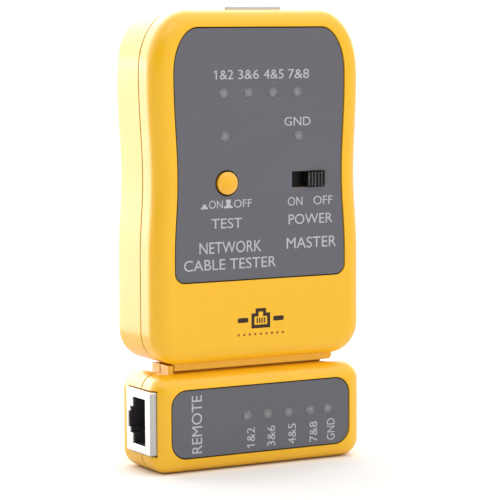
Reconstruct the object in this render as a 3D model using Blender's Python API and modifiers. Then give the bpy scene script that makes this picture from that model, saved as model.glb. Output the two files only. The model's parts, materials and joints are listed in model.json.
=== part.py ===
"""A two-piece network cable tester: a master unit with a waisted case, docked on a small remote unit.

Units are metres, +Z is up, the label faces -Y. The origin is the middle of the remote's underside.
"""

import math

import bmesh
import bpy
from mathutils import Matrix, Vector

MM = 0.001

# --- shared by both cases ---
FRONT_Y = -11.5 * MM  # plane of both front faces
PARTING_Y = -3.0 * MM  # where front and rear shells meet
SEAM = 0.3 * MM  # gap between the shells
GAP = 0.3 * MM  # gap between pieces that rest on each other
WALL = 1.8 * MM
FRONT_FILLET = 4.5 * MM
REAR_FILLET = 3.0 * MM
FILLET_STEPS = 3
LIP_HEIGHT = 1.2 * MM
LIP_INSET = 1.0 * MM
LIP_THICKNESS = 0.7 * MM
LIP_CLEARANCE = 0.2 * MM
CUT_PAST = 1.0 * MM  # how far a cutter runs past a face, and a joined piece into its neighbour

# --- remote case ---
REMOTE_WIDTH = 60.0 * MM
REMOTE_HEIGHT = 24.9 * MM
REMOTE_CORNER = 4.75 * MM

# --- master case ---
MASTER_WIDTH = 59.8 * MM
MASTER_HEIGHT = 88.3 * MM
WAIST_DEPTH = 0.9 * MM  # how far each side curves in
WAIST_DOWN = 41.7 * MM  # waist below the master's top
WAIST_RISE = 24.1 * MM  # from the waist up to full width
WAIST_FALL = 20.1 * MM  # from the waist down to full width
MASTER_TOP_CORNER = (11.0 * MM, 15.0 * MM)
MASTER_LOW_CORNER = (8.0 * MM, 8.0 * MM)

# --- dock: a rail on the remote in a channel in the master's neck ---
DOCK_GAP = 0.55 * MM
NECK_HEIGHT = 1.65 * MM
NECK_FROM_SIDE = 7.1 * MM
NECK_HALF_DEPTH = 4.4 * MM
NECK_CORNER = 1.0 * MM
LIP_OF_CHANNEL = 0.65 * MM
RAIL_STEM_HALF = 2.2 * MM
NECK_SIDE_WALL = 0.7 * MM  # left beside the channel
RAIL_HEAD_HEIGHT = 0.6 * MM
RAIL_RUN_CLEARANCE = 0.2 * MM
CHANNEL_END_WALL = 1.8 * MM
STOP_THICKNESS = 1.5 * MM
STOP_ABOVE_RAIL = 0.05 * MM
DOCK_SEAM = 0.4 * MM  # between the halves of the neck and of the rail

# --- labels ---
LABEL_THICKNESS = 0.5 * MM
LABEL_GLUE = 0.1 * MM
LABEL_SUNK = 0.15 * MM
LABEL_SIDE_GAP = 0.3 * MM
MASTER_LABEL_SIDE = 5.7 * MM  # from the side of the case
MASTER_LABEL_TOP = 4.7 * MM
MASTER_LABEL_LOW = 20.85 * MM
MASTER_LABEL_TOP_CORNER = (6.5 * MM, 11.0 * MM)
MASTER_LABEL_LOW_CORNER = (2.5 * MM, 2.5 * MM)
REMOTE_LABEL_SIDE = 4.5 * MM
REMOTE_LABEL_MARGIN = 4.0 * MM
REMOTE_LABEL_CORNER = 4.0 * MM

# --- boards ---
BOARD_THICKNESS = 1.6 * MM
BOARD_TO_BOSS = 0.5 * MM
MAIN_BOARD_HEIGHT = 52.0 * MM
MAIN_BOARD_TOP = 3.4 * MM  # below the master's top
BOARD_CORNER = 3.0 * MM
REMOTE_BOARD_TO_BOSS = 0.7 * MM
REMOTE_BOARD_LOW = 3.4 * MM
REMOTE_BOARD_TOP = 3.4 * MM
CHIP_SIZE = (11.0 * MM, 1.4 * MM, 6.6 * MM)
CHIP_DOWN = 27.3 * MM  # below the master's top

# --- modular jacks: width along X, depth along -Z, thickness along Y, mouth at the top ---
JACK_WIDTH = 16.0 * MM
JACK_THICKNESS = 13.35 * MM
JACK_DEPTH = 18.0 * MM
JACK_PROUD = 0.8 * MM
REMOTE_JACK_PROUD = 0.8 * MM
SHIELD_WALL = 0.4 * MM
PORT_WIDTH = 11.8 * MM
PORT_THICKNESS = 6.8 * MM
PORT_FROM_FRONT = 2.85 * MM  # from the jack's front side to the port
PORT_DEPTH = 13.0 * MM
LATCH_STEPS = ((6.8 * MM, 1.5 * MM), (4.1 * MM, 1.0 * MM))  # width and thickness of each
CONTACT_PITCH = 1.02 * MM
CONTACT_COUNT = 8
CONTACT_RADIUS = 0.22 * MM
CONTACT_START = 3.0 * MM  # below the mouth
CONTACT_LENGTH = 7.5 * MM
CONTACT_RISE = 0.7 * MM
CONTACT_TAIL = 1.2 * MM  # straight part at its lower end
CASE_TO_JACK = 0.3 * MM
MASTER_JACK_FRONT = 3.7 * MM  # from the front face to the jack
REMOTE_JACK_TO_WALL = 0.15 * MM
REMOTE_JACK_UP = 12.9 * MM

# --- indicator lights ---
LIGHT_RADIUS = 1.35 * MM
LIGHT_FLANGE = 1.8 * MM
LIGHT_FLANGE_THICKNESS = 1.0 * MM
LIGHT_SPACER = 1.5 * MM
LIGHT_HOLE_GAP = 0.12 * MM
MASTER_LIGHTS = {  # place across, and depth below the master's top
    "light_1_2": (-10.5 * MM, 20.8 * MM),
    "light_3_6": (-3.5 * MM, 20.8 * MM),
    "light_4_5": (3.5 * MM, 20.8 * MM),
    "light_7_8": (10.5 * MM, 20.8 * MM),
    "power_light": (-10.2 * MM, 31.6 * MM),
    "ground_light": (10.9 * MM, 31.8 * MM),
}
REMOTE_LIGHT_UP = 13.3 * MM
REMOTE_LIGHTS = {
    "remote_light_1_2": -4.3 * MM,
    "remote_light_3_6": 1.6 * MM,
    "remote_light_4_5": 7.7 * MM,
    "remote_light_7_8": 14.0 * MM,
    "remote_ground_light": 19.2 * MM,
}

# --- test button ---
BUTTON_X = -9.7 * MM
BUTTON_DOWN = 43.15 * MM  # below the master's top
BUTTON_RADIUS = 2.85 * MM
BUTTON_PROUD = 1.1 * MM
BUTTON_CROWN = 0.8 * MM
BUTTON_HOLE_GAP = 0.4 * MM
BUTTON_FLANGE = 3.7 * MM
BUTTON_FLANGE_THICKNESS = 0.8 * MM
BUTTON_TRAVEL = 2.5 * MM
PLUNGER_RADIUS = 1.5 * MM
PLUNGER_ENTRY = 2.25 * MM  # into the switch
PLUNGER_CLEARANCE = 0.3 * MM
TEST_SWITCH_SIDE = 7.0 * MM
TEST_SWITCH_HEIGHT = 9.5 * MM
TEST_BORE_DEPTH = 6.0 * MM
SPRING_WIRE = 0.22 * MM
SPRING_TURNS = 4
SPRING_STEPS = 10  # points in one turn

# --- power switch ---
POWER_LEFT = 8.95 * MM
POWER_RIGHT = 18.6 * MM
POWER_DOWN = 42.9 * MM
POWER_SLOT_HEIGHT = 4.1 * MM
KNOB_WIDTH = 5.0 * MM
KNOB_PROUD = 1.0 * MM
KNOB_GROOVES = 5
KNOB_GROOVE_WIDTH = 0.4 * MM
KNOB_GROOVE_DEPTH = 0.45 * MM
COVER_THICKNESS = 0.8 * MM  # plate behind the wall that keeps the slot closed
COVER_OVERLAP = 0.4 * MM
KNOB_STEM_WIDTH = 3.0 * MM
KNOB_STEM_HEIGHT = 2.0 * MM
KNOB_STEM_ENTRY = 0.45 * MM  # into the switch
FRAME_THICKNESS = 0.5 * MM
FRAME_MARGIN = 3.2 * MM
POWER_BASE_HEIGHT = 10.4 * MM
POWER_WELL_DEPTH = 3.0 * MM

# --- battery bay ---
BATTERY_LENGTH = 46.0 * MM
BATTERY_HEIGHT = 26.5 * MM
BATTERY_THICKNESS = 17.5 * MM
BATTERY_FROM_SIDE = 4.3 * MM
BATTERY_UP = 0.7 * MM  # above the case's inner floor
BATTERY_EDGE = 2.0 * MM
TERMINAL_PITCH = 12.7 * MM
TERMINAL_LENGTH = 2.4 * MM
TERMINAL_RADII = (2.9 * MM, 3.9 * MM)
SNAP_THICKNESS = 4.2 * MM
SNAP_MARGIN = 2.0 * MM
WIRE_RADIUS = 0.65 * MM
WIRE_BEND = 1.2 * MM
WIRE_STEPS = (-1.8 * MM, -0.4 * MM, 1.0 * MM, 2.4 * MM, 4.4 * MM)  # heights from the board's lower edge
WIRE_DEPTHS = (7.0 * MM, 10.0 * MM)  # red and black, behind the battery's front
WIRE_ALONG = (7.0 * MM, 3.0 * MM)  # red and black, how far each runs to the left
DOOR_FROM_SIDE = 4.5 * MM
DOOR_HEIGHT = 27.0 * MM
DOOR_UP = 4.3 * MM  # above the master's underside
DOOR_CORNER = 2.0 * MM
DOOR_LUG_X = 14.0 * MM
DOOR_LUG_WIDTH = 6.0 * MM
DOOR_LUG_DROP = 1.4 * MM
DOOR_LUG_THICKNESS = 0.8 * MM
DOOR_RIBS = (-16.0 * MM, 0.0, 16.0 * MM)  # places across of the ribs that hold the battery
DOOR_RIB_WIDTH = 1.2 * MM
DOOR_RIB_ENDS = 5.0 * MM  # from the door's upper and lower edges
DOOR_GRIPS = 3
DOOR_GRIP_PITCH = 2.0 * MM
DOOR_GRIP_SIZE = (14.0 * MM, 0.6 * MM, 0.8 * MM)

# --- case screws ---
SCREW_RADIUS = 1.3 * MM
SCREW_HEAD_RADIUS = 2.5 * MM
SCREW_HEAD_THICKNESS = 1.8 * MM
SCREW_ENTRY = 4.0 * MM  # into the front shell's post
SCREW_RECESS = 3.0 * MM  # from the rear face down to the head's seat
SCREW_HEAD_EDGE = (0.5 * MM, 0.5 * MM)  # of the head's edge: across and down
CROSS_HALF = 1.55 * MM  # of the cross recess in the head: half its span, its width and its depth
CROSS_WIDTH = 0.66 * MM
CROSS_DEPTH = 0.9 * MM
BOSS_RADIUS = 3.2 * MM
REMOTE_BOSS_RADIUS = 2.6 * MM
BOSS_SHOULDER = 1.4 * MM
MASTER_SCREWS_DOWN = (17.4 * MM, 50.9 * MM)  # below the master's top
MASTER_SCREW_FROM_SIDE = 5.6 * MM
REMOTE_SCREW_FROM_SIDE = 5.1 * MM
REMOTE_SCREW_FROM_JACK = 3.4 * MM
SOLDER_ROOM = 1.5 * MM  # behind a board
BATTERY_ROOM = 0.5 * MM  # behind the battery

# --- worked out from the above ---
NECK_HALF_LENGTH = min(MASTER_WIDTH, REMOTE_WIDTH) / 2 - NECK_FROM_SIDE
RAIL_X = NECK_HALF_LENGTH - CHANNEL_END_WALL - GAP
RAIL_HEAD_HALF = NECK_HALF_DEPTH - NECK_SIDE_WALL - RAIL_RUN_CLEARANCE
MASTER_Z = REMOTE_HEIGHT + DOCK_GAP + NECK_HEIGHT  # the master's underside
MASTER_TOP = MASTER_Z + MASTER_HEIGHT
LABEL_FACE = FRONT_Y + LABEL_SUNK
INNER_FRONT = FRONT_Y + WALL
REMOTE_JACK_FRONT = WALL + REMOTE_JACK_TO_WALL
MASTER_BOARD_Y = FRONT_Y + MASTER_JACK_FRONT + JACK_THICKNESS + GAP
REMOTE_BOARD_Y = FRONT_Y + REMOTE_JACK_FRONT + JACK_THICKNESS + GAP
BATTERY_STACK = GAP + BATTERY_THICKNESS + BATTERY_ROOM + DOOR_LUG_THICKNESS + GAP
MASTER_REAR_Y = WALL + max(INNER_FRONT + BATTERY_STACK, MASTER_BOARD_Y + BOARD_THICKNESS + SOLDER_ROOM)
REMOTE_REAR_Y = WALL + REMOTE_BOARD_Y + BOARD_THICKNESS + SOLDER_ROOM
MASTER_SCREW_X = MASTER_WIDTH / 2 - MASTER_SCREW_FROM_SIDE
MAIN_BOARD_HALF = MASTER_SCREW_X - BOSS_RADIUS - BOARD_TO_BOSS
BATTERY_LEFT = BATTERY_FROM_SIDE - MASTER_WIDTH / 2
DOOR_HALF_WIDTH = MASTER_WIDTH / 2 - DOOR_FROM_SIDE
REMOTE_SCREW_X = REMOTE_WIDTH / 2 - REMOTE_SCREW_FROM_SIDE
REMOTE_BOARD_RIGHT = REMOTE_SCREW_X - REMOTE_BOSS_RADIUS - REMOTE_BOARD_TO_BOSS
SCREW_TIP = PARTING_Y - SEAM - SCREW_ENTRY
MAIN_BOARD_HIGH = MASTER_TOP - MAIN_BOARD_TOP
MAIN_BOARD_Z = MAIN_BOARD_HIGH - MAIN_BOARD_HEIGHT

YELLOW = (0.96, 0.56, 0.06, 1.0)
GREY = (0.17, 0.17, 0.19, 1.0)
BLACK = (0.015, 0.015, 0.015, 1.0)
STEEL = (0.75, 0.75, 0.76, 1.0)
GOLD = (0.83, 0.61, 0.25, 1.0)
GREEN = (0.03, 0.16, 0.06, 1.0)
CLEAR = (0.6, 0.6, 0.6, 1.0)
RED = (0.6, 0.02, 0.02, 1.0)


def clear_scene():
    for obj in list(bpy.data.objects):
        bpy.data.objects.remove(obj, do_unlink=True)


def new_collection(name):
    made = bpy.data.collections.new(name)
    bpy.context.scene.collection.children.link(made)
    return made


def material(name, colour, roughness=0.4, metallic=0.0):
    made = bpy.data.materials.new(name)
    made.use_nodes = True
    shader = made.node_tree.nodes["Principled BSDF"]
    shader.inputs["Base Color"].default_value = colour
    shader.inputs["Roughness"].default_value = roughness
    shader.inputs["Metallic"].default_value = metallic
    return made


def keep(obj, colour, roughness=0.4, metallic=0.0, parent=None):
    """Makes this object a finished piece with its own material."""
    parts.objects.link(obj)
    obj.data.materials.clear()
    obj.data.materials.append(material(obj.name, colour, roughness, metallic))
    if parent:
        obj.parent = parent
        obj.matrix_parent_inverse = Matrix.Translation(-parent.location)
    return obj


def as_cutter(obj):
    cutters.objects.link(obj)
    obj.hide_render = True
    obj.display_type = "WIRE"
    return obj


def boolean(obj, other, operation):
    step = obj.modifiers.new(f"{operation.lower()}_{other.name}", "BOOLEAN")
    step.operation = operation
    step.object = other
    step.solver = "EXACT"


def cut(obj, *others):
    for other in others:
        boolean(obj, other, "DIFFERENCE")


def join(obj, *others):
    for other in others:
        boolean(obj, other, "UNION")


def mesh_object(name, bm):
    mesh = bpy.data.meshes.new(name)
    bm.to_mesh(mesh)
    bm.free()
    return bpy.data.objects.new(name, mesh)


def box(name, low, high):
    """A block between two corners, its origin in its middle."""
    low, high = Vector(low), Vector(high)
    bm = bmesh.new()
    bmesh.ops.create_cube(bm, size=1.0)
    bmesh.ops.scale(bm, vec=high - low, verts=bm.verts)
    obj = mesh_object(name, bm)
    obj.location = (low + high) / 2
    return obj


def rod(name, x, z, radius, y_low, y_high, sides=20):
    """A cylinder along Y."""
    bm = bmesh.new()
    bmesh.ops.create_cone(
        bm, cap_ends=True, segments=sides, radius1=radius, radius2=radius, depth=y_high - y_low
    )
    obj = mesh_object(name, bm)
    obj.rotation_euler.x = math.pi / 2
    obj.location = (x, (y_low + y_high) / 2, z)
    obj.data.shade_smooth()
    obj.data.set_sharp_from_angle(angle=math.radians(40))
    return obj


def turned(name, x, z, profile, sides=16):
    """A turned piece along Y, from (radius, y) points that run from the front, at -Y, to the rear."""
    mesh = bpy.data.meshes.new(name)
    points = [(radius, 0.0, -y) for radius, y in profile]
    mesh.from_pydata(points, [(i, i + 1) for i in range(len(points) - 1)], [])
    obj = bpy.data.objects.new(name, mesh)
    screw = obj.modifiers.new("turn", "SCREW")
    screw.steps = screw.render_steps = sides
    screw.use_merge_vertices = True
    screw.merge_threshold = 0.00001
    obj.rotation_euler.x = math.pi / 2
    obj.location = (x, 0.0, z)
    return obj


def mesh_of_curve(obj):
    """The curve's evaluated shape as a mesh object, with its loose caps welded and made whole again."""
    bpy.context.scene.collection.objects.link(obj)
    bpy.context.view_layer.update()
    evaluated = obj.evaluated_get(bpy.context.evaluated_depsgraph_get())
    mesh = bpy.data.meshes.new_from_object(evaluated)
    mesh.transform(obj.matrix_world)
    name = obj.name
    bpy.data.objects.remove(obj, do_unlink=True)
    bm = bmesh.new()
    bm.from_mesh(mesh)
    bmesh.ops.remove_doubles(bm, verts=bm.verts, dist=0.00001)
    bmesh.ops.dissolve_limit(bm, angle_limit=math.radians(1), verts=bm.verts, edges=bm.edges)
    bmesh.ops.recalc_face_normals(bm, faces=bm.faces)
    bm.to_mesh(mesh)
    bm.free()
    return bpy.data.objects.new(name, mesh)


def slab(name, outline, y_low, y_high, fillet=0.0, fillet_y=None, steps=FILLET_STEPS):
    """A flat piece with this (x, z) outline between two planes, rounded along the edge at fillet_y."""
    curve = bpy.data.curves.new(name, "CURVE")
    curve.dimensions = "2D"
    curve.fill_mode = "BOTH"
    curve.extrude = (y_high - y_low) / 2
    spline = curve.splines.new("POLY")
    spline.points.add(len(outline) - 1)
    for point, (x, z) in zip(spline.points, outline):
        point.co = (x, z, 0.0, 1.0)
    spline.use_cyclic_u = True
    flat = bpy.data.objects.new(name, curve)
    flat.rotation_euler.x = math.pi / 2
    flat.location.y = (y_low + y_high) / 2
    obj = mesh_of_curve(flat)
    if fillet:
        weights = obj.data.attributes.new("bevel_weight_edge", "FLOAT", "EDGE")
        for edge in obj.data.edges:
            ends = [obj.data.vertices[v].co.y for v in edge.vertices]
            if all(abs(y - fillet_y) < 0.01 * MM for y in ends):
                weights.data[edge.index].value = 1.0
        bevel = obj.modifiers.new("fillet", "BEVEL")
        bevel.limit_method = "WEIGHT"
        bevel.width = fillet
        bevel.segments = steps
        bevel.use_clamp_overlap = False
    return obj


def wire(name, route, radius):
    """A round wire along a list of points."""
    curve = bpy.data.curves.new(name, "CURVE")
    curve.dimensions = "3D"
    curve.bevel_depth = radius
    curve.bevel_resolution = 1
    curve.use_fill_caps = True
    spline = curve.splines.new("POLY")
    spline.points.add(len(route) - 1)
    for point, place in zip(spline.points, route):
        point.co = (*place, 1.0)
    return bpy.data.objects.new(name, curve)


def corner(x, z, size, start, steps):
    """A quarter ellipse about (x, z), from this angle in degrees."""
    points = []
    for i in range(steps + 1):
        angle = math.radians(start + 90.0 * i / steps)
        points.append((x + size[0] * math.cos(angle), z + size[1] * math.sin(angle)))
    return points


def rounded_rectangle(x_low, x_high, z_low, z_high, radius, steps=4):
    size = (radius, radius)
    return (
        corner(x_high - radius, z_low + radius, size, -90, steps)
        + corner(x_high - radius, z_high - radius, size, 0, steps)
        + corner(x_low + radius, z_high - radius, size, 90, steps)
        + corner(x_low + radius, z_low + radius, size, 180, steps)
    )


def side_at(z):
    """Half the master's width at this height: full at the ends and drawn in at the waist."""
    above = z - (MASTER_TOP - WAIST_DOWN)
    share = min(abs(above) / (WAIST_RISE if above > 0 else WAIST_FALL), 1.0)
    return MASTER_WIDTH / 2 - WAIST_DEPTH * 0.5 * (1 + math.cos(math.pi * share))


def waisted(side_inset, z_low, z_high, low_corner, top_corner, steps=12, corner_steps=6):
    """An outline that follows the master's sides, with elliptical corners."""
    z_from, z_to = z_low + low_corner[1], z_high - top_corner[1]
    low_x = side_at(z_from) - side_inset - low_corner[0]
    top_x = side_at(z_to) - side_inset - top_corner[0]
    rise = [z_from + (z_to - z_from) * i / steps for i in range(1, steps)]
    right = corner(low_x, z_from, low_corner, -90, corner_steps)
    right += [(side_at(z) - side_inset, z) for z in rise]
    right += corner(top_x, z_to, top_corner, 0, corner_steps)
    return right + [(-x, z) for x, z in reversed(right)]


def master_outline(inset):
    """The master's outline, drawn in evenly by inset."""
    low = tuple(size - inset for size in MASTER_LOW_CORNER)
    top = tuple(size - inset for size in MASTER_TOP_CORNER)
    return waisted(inset, MASTER_Z + inset, MASTER_TOP - inset, low, top)


def remote_outline(inset):
    half = REMOTE_WIDTH / 2 - inset
    return rounded_rectangle(-half, half, inset, REMOTE_HEIGHT - inset, REMOTE_CORNER - inset)


def master_label_outline(outset):
    low = tuple(size + outset for size in MASTER_LABEL_LOW_CORNER)
    top = tuple(size + outset for size in MASTER_LABEL_TOP_CORNER)
    z_low = MASTER_Z + MASTER_LABEL_LOW - outset
    return waisted(MASTER_LABEL_SIDE - outset, z_low, MASTER_TOP - MASTER_LABEL_TOP + outset, low, top)


def remote_label_outline(outset):
    half = REMOTE_WIDTH / 2 - REMOTE_LABEL_SIDE + outset
    low = REMOTE_LABEL_MARGIN - outset
    return rounded_rectangle(-half, half, low, REMOTE_HEIGHT - low, REMOTE_LABEL_CORNER + outset)


def tray(name, outline_at, rim_y, face_y, fillet):
    """Half of a case: the outline between its open rim and its rounded face, hollowed to the wall."""
    out = math.copysign(1.0, face_y - rim_y)
    inner_y = face_y - out * WALL
    past_y = rim_y - out * CUT_PAST
    shell = slab(name, outline_at(0.0), *sorted((rim_y, face_y)), fillet, face_y)
    hollow = slab(f"{name}_hollow", outline_at(WALL), *sorted((past_y, inner_y)), fillet - WALL, inner_y)
    cut(shell, as_cutter(hollow))
    return shell


def front_tray(name, outline_at):
    """A front shell, relieved inside its rim for the rear shell's lip."""
    rim_y = PARTING_Y - SEAM / 2
    shell = tray(name, outline_at, rim_y, FRONT_Y, FRONT_FILLET)
    deep = rim_y - LIP_HEIGHT - LIP_CLEARANCE
    relief = slab(f"{name}_relief", outline_at(LIP_INSET - LIP_CLEARANCE), deep, rim_y + CUT_PAST)
    cut(shell, as_cutter(relief))
    return shell


def rear_tray(name, outline_at, rear_y):
    """A rear shell, with a lip that stands into the front shell."""
    rim_y = PARTING_Y + SEAM / 2
    shell = tray(name, outline_at, rim_y, rear_y, REAR_FILLET)
    lip = slab(f"{name}_lip", outline_at(LIP_INSET), rim_y - LIP_HEIGHT, rim_y + CUT_PAST)
    inside = outline_at(LIP_INSET + LIP_THICKNESS)
    bore = slab(f"{name}_lip_bore", inside, rim_y - LIP_HEIGHT - CUT_PAST, rim_y + 2 * CUT_PAST)
    cut(lip, as_cutter(bore))
    join(shell, as_cutter(lip))
    return shell


def add_front_bosses(shell, places, radius):
    """Posts behind the front wall, each with a hole for its screw."""
    top = PARTING_Y - SEAM
    for i, (x, z) in enumerate(places):
        post = rod(f"{shell.name}_post_{i}", x, z, radius, INNER_FRONT - WALL / 4, top, 16)
        join(shell, as_cutter(post))
    for i, (x, z) in enumerate(places):
        hole = rod(f"{shell.name}_pilot_{i}", x, z, SCREW_RADIUS + GAP, INNER_FRONT, top + CUT_PAST, 12)
        cut(shell, as_cutter(hole))


def add_rear_bosses(shell, places, rear_y, radius):
    """Posts inside the rear wall, bored for the screws and counterbored for their heads."""
    for i, (x, z) in enumerate(places):
        post = rod(f"{shell.name}_post_{i}", x, z, radius, PARTING_Y + SEAM, rear_y - WALL / 2, 16)
        join(shell, as_cutter(post))
    for i, (x, z) in enumerate(places):
        low, high = PARTING_Y - CUT_PAST, rear_y + CUT_PAST
        bore = rod(f"{shell.name}_bore_{i}", x, z, SCREW_RADIUS + GAP, low, high, 12)
        seat = rear_y - SCREW_RECESS
        head = rod(f"{shell.name}_head_{i}", x, z, SCREW_HEAD_RADIUS + GAP, seat, high, 16)
        cut(shell, as_cutter(bore), as_cutter(head))


def screw(name, x, z, rear_y, parent=None):
    """A pan head screw from the rear, with a cross recess."""
    seat = rear_y - SCREW_RECESS - GAP / 2
    head_y = seat + SCREW_HEAD_THICKNESS
    profile = [
        (0.0, SCREW_TIP),
        (SCREW_RADIUS / 2, SCREW_TIP),
        (SCREW_RADIUS, SCREW_TIP + SCREW_RADIUS),
        (SCREW_RADIUS, seat + GAP),
        (SCREW_HEAD_RADIUS, seat + GAP),
        (SCREW_HEAD_RADIUS, head_y - SCREW_HEAD_EDGE[1]),
        (SCREW_HEAD_RADIUS - SCREW_HEAD_EDGE[0], head_y),
        (0.0, head_y),
    ]
    obj = turned(name, x, z, profile, 14)
    low_y, high_y = head_y - CROSS_DEPTH, head_y + CUT_PAST
    for arm, wide, tall in (("flat", CROSS_HALF, CROSS_WIDTH / 2), ("upright", CROSS_WIDTH / 2, CROSS_HALF)):
        recess_arm = box(f"{name}_{arm}", (x - wide, low_y, z - tall), (x + wide, high_y, z + tall))
        cut(obj, as_cutter(recess_arm))
    return keep(obj, STEEL, 0.35, 1.0, parent)


def light(name, x, z, board_y, parent=None):
    """An indicator light: a lens through the front wall on a spacer that stands on the board."""
    tip = FRONT_Y
    flange = INNER_FRONT + GAP
    profile = [(0.0, tip)]
    for i in (1, 2):
        angle = math.pi / 2 * i / 3
        profile.append((LIGHT_RADIUS * math.sin(angle), tip + LIGHT_RADIUS * (1 - math.cos(angle))))
    profile += [
        (LIGHT_RADIUS, tip + LIGHT_RADIUS),
        (LIGHT_RADIUS, flange),
        (LIGHT_FLANGE, flange),
        (LIGHT_FLANGE, flange + LIGHT_FLANGE_THICKNESS),
        (LIGHT_SPACER, flange + LIGHT_FLANGE_THICKNESS),
        (LIGHT_SPACER, board_y - GAP),
        (0.0, board_y - GAP),
    ]
    return keep(turned(name, x, z, profile, 12), CLEAR, 0.2, 0.0, parent)


def light_hole(name, x, z):
    radius = LIGHT_RADIUS + LIGHT_HOLE_GAP
    return as_cutter(rod(name, x, z, radius, FRONT_Y - CUT_PAST, INNER_FRONT + CUT_PAST, 14))


def port_cutters(name, top, depth, front_y):
    """The port's stepped shape: a block for the plug and two narrower steps for its latch."""
    y = front_y + PORT_FROM_FRONT
    half = PORT_WIDTH / 2
    low, high = top - depth, top + CUT_PAST
    made = [box(f"{name}_plug", (-half, y, low), (half, y + PORT_THICKNESS, high))]
    y += PORT_THICKNESS
    for i, (width, thickness) in enumerate(LATCH_STEPS):
        from_y = y - CUT_PAST
        block = box(f"{name}_latch_{i}", (-width / 2, from_y, low), (width / 2, y + thickness, high))
        made.append(block)
        y += thickness
    return made


def jack(prefix, place, turn, front_y, parent=None):
    """A shielded modular jack, made upright with its mouth at height 0, then turned and placed."""
    holder = bpy.data.objects.new(f"{prefix}_jack", None)
    parts.objects.link(holder)
    made = []
    rear_y = front_y + JACK_THICKNESS
    half = JACK_WIDTH / 2
    shield = box(f"{prefix}_jack_shield", (-half, front_y, -JACK_DEPTH), (half, rear_y, 0.0))
    inset = SHIELD_WALL
    hollow_low = (-half + inset, front_y + inset, -JACK_DEPTH - CUT_PAST)
    hollow = box(f"{prefix}_shield_hollow", hollow_low, (half - inset, rear_y - inset, -inset))
    made += [shield, hollow]
    cut(shield, as_cutter(hollow))
    for block in port_cutters(f"{prefix}_shield", 0.0, 2 * SHIELD_WALL, front_y):
        made.append(block)
        cut(shield, as_cutter(block))
    inset = SHIELD_WALL + GAP / 2
    low = (-half + inset, front_y + inset, -JACK_DEPTH + inset)
    housing = box(f"{prefix}_jack_housing", low, (half - inset, rear_y - inset, -inset))
    made.append(housing)
    for block in port_cutters(f"{prefix}_housing", 0.0, PORT_DEPTH, front_y):
        made.append(block)
        cut(housing, as_cutter(block))
    keep(shield, STEEL, 0.25, 1.0)
    keep(housing, BLACK, 0.5)
    y = front_y + PORT_FROM_FRONT + CONTACT_RADIUS + GAP / 3
    for i in range(CONTACT_COUNT):
        x = (i - (CONTACT_COUNT - 1) / 2) * CONTACT_PITCH
        end = -CONTACT_START - CONTACT_LENGTH
        bend = (x, y + CONTACT_RISE, end + CONTACT_TAIL)
        route = [(x, y, -CONTACT_START), bend, (x, y + CONTACT_RISE, end)]
        contact = wire(f"{prefix}_contact_{i + 1}", route, CONTACT_RADIUS)
        made.append(contact)
        keep(contact, GOLD, 0.25, 1.0)
    for obj in made:
        obj.parent = holder
    holder.location = place
    holder.rotation_euler.y = turn
    if parent:
        holder.parent = parent
        holder.matrix_parent_inverse = Matrix.Translation(-parent.location)
    return holder


def neck_half(name, y_low, y_high):
    """Half of the neck under the master, with a rounded lower corner at its right end."""
    low = REMOTE_HEIGHT + DOCK_GAP
    right = NECK_HALF_LENGTH
    outline = [(-right, low)]
    outline += corner(right - NECK_CORNER, low + NECK_CORNER, (NECK_CORNER, NECK_CORNER), -90, 3)
    outline += [(right, MASTER_Z + CUT_PAST), (-right, MASTER_Z + CUT_PAST)]
    return as_cutter(slab(name, outline, y_low, y_high))


def channel_cutters():
    """The T-shaped channel along the neck, open at its left end."""
    ledge = REMOTE_HEIGHT + DOCK_GAP + LIP_OF_CHANNEL
    right = RAIL_X + GAP
    left = -NECK_HALF_LENGTH - CUT_PAST
    roof = rail_top() + RAIL_RUN_CLEARANCE + CUT_PAST / 4
    stem = RAIL_STEM_HALF + RAIL_RUN_CLEARANCE
    head = RAIL_HEAD_HALF + RAIL_RUN_CLEARANCE
    low = (left, PARTING_Y - stem, REMOTE_HEIGHT)
    throat = box("channel_throat", low, (right, PARTING_Y + stem, roof))
    low = (left, PARTING_Y - head, ledge)
    wide = box("channel_wide", low, (right, PARTING_Y + head, roof))
    return as_cutter(throat), as_cutter(wide)


def rail_top():
    ledge = REMOTE_HEIGHT + DOCK_GAP + LIP_OF_CHANNEL
    return ledge + RAIL_RUN_CLEARANCE + RAIL_HEAD_HEIGHT


def rail_half(name, side):
    """Half of the rail and its end stop, on the side of the parting plane given by -1 or 1."""
    inner = PARTING_Y + side * DOCK_SEAM / 2
    root = REMOTE_HEIGHT - CUT_PAST
    left = -NECK_HALF_LENGTH - GAP
    spans = {
        "stem": (left - CUT_PAST, RAIL_X, RAIL_STEM_HALF, root, rail_top()),
        "head": (left - CUT_PAST, RAIL_X, RAIL_HEAD_HALF, rail_top() - RAIL_HEAD_HEIGHT, rail_top()),
        "stop": (left - STOP_THICKNESS, left, NECK_HALF_DEPTH, root, rail_top() + STOP_ABOVE_RAIL),
    }
    made = []
    for part, (x_low, x_high, half, z_low, z_high) in spans.items():
        y_low, y_high = sorted((inner, PARTING_Y + side * half))
        made.append(as_cutter(box(f"{name}_{part}", (x_low, y_low, z_low), (x_high, y_high, z_high))))
    return made


def recess(name, outline):
    depth = LABEL_SUNK + LABEL_THICKNESS + LABEL_GLUE
    return as_cutter(slab(name, outline, FRONT_Y - CUT_PAST, FRONT_Y + depth))


def jack_opening(name, front_y, low, high):
    """A block that clears the case around a jack, between two corners given without their Y."""
    y_low = front_y - CASE_TO_JACK
    y_high = front_y + JACK_THICKNESS + CASE_TO_JACK
    return as_cutter(box(name, (low[0], y_low, low[1]), (high[0], y_high, high[1])))


def power_slot(name, y_high):
    half = POWER_SLOT_HEIGHT / 2
    z = MASTER_TOP - POWER_DOWN
    low = (POWER_LEFT, FRONT_Y - CUT_PAST, z - half)
    return as_cutter(box(name, low, (POWER_RIGHT, y_high, z + half)))


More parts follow.
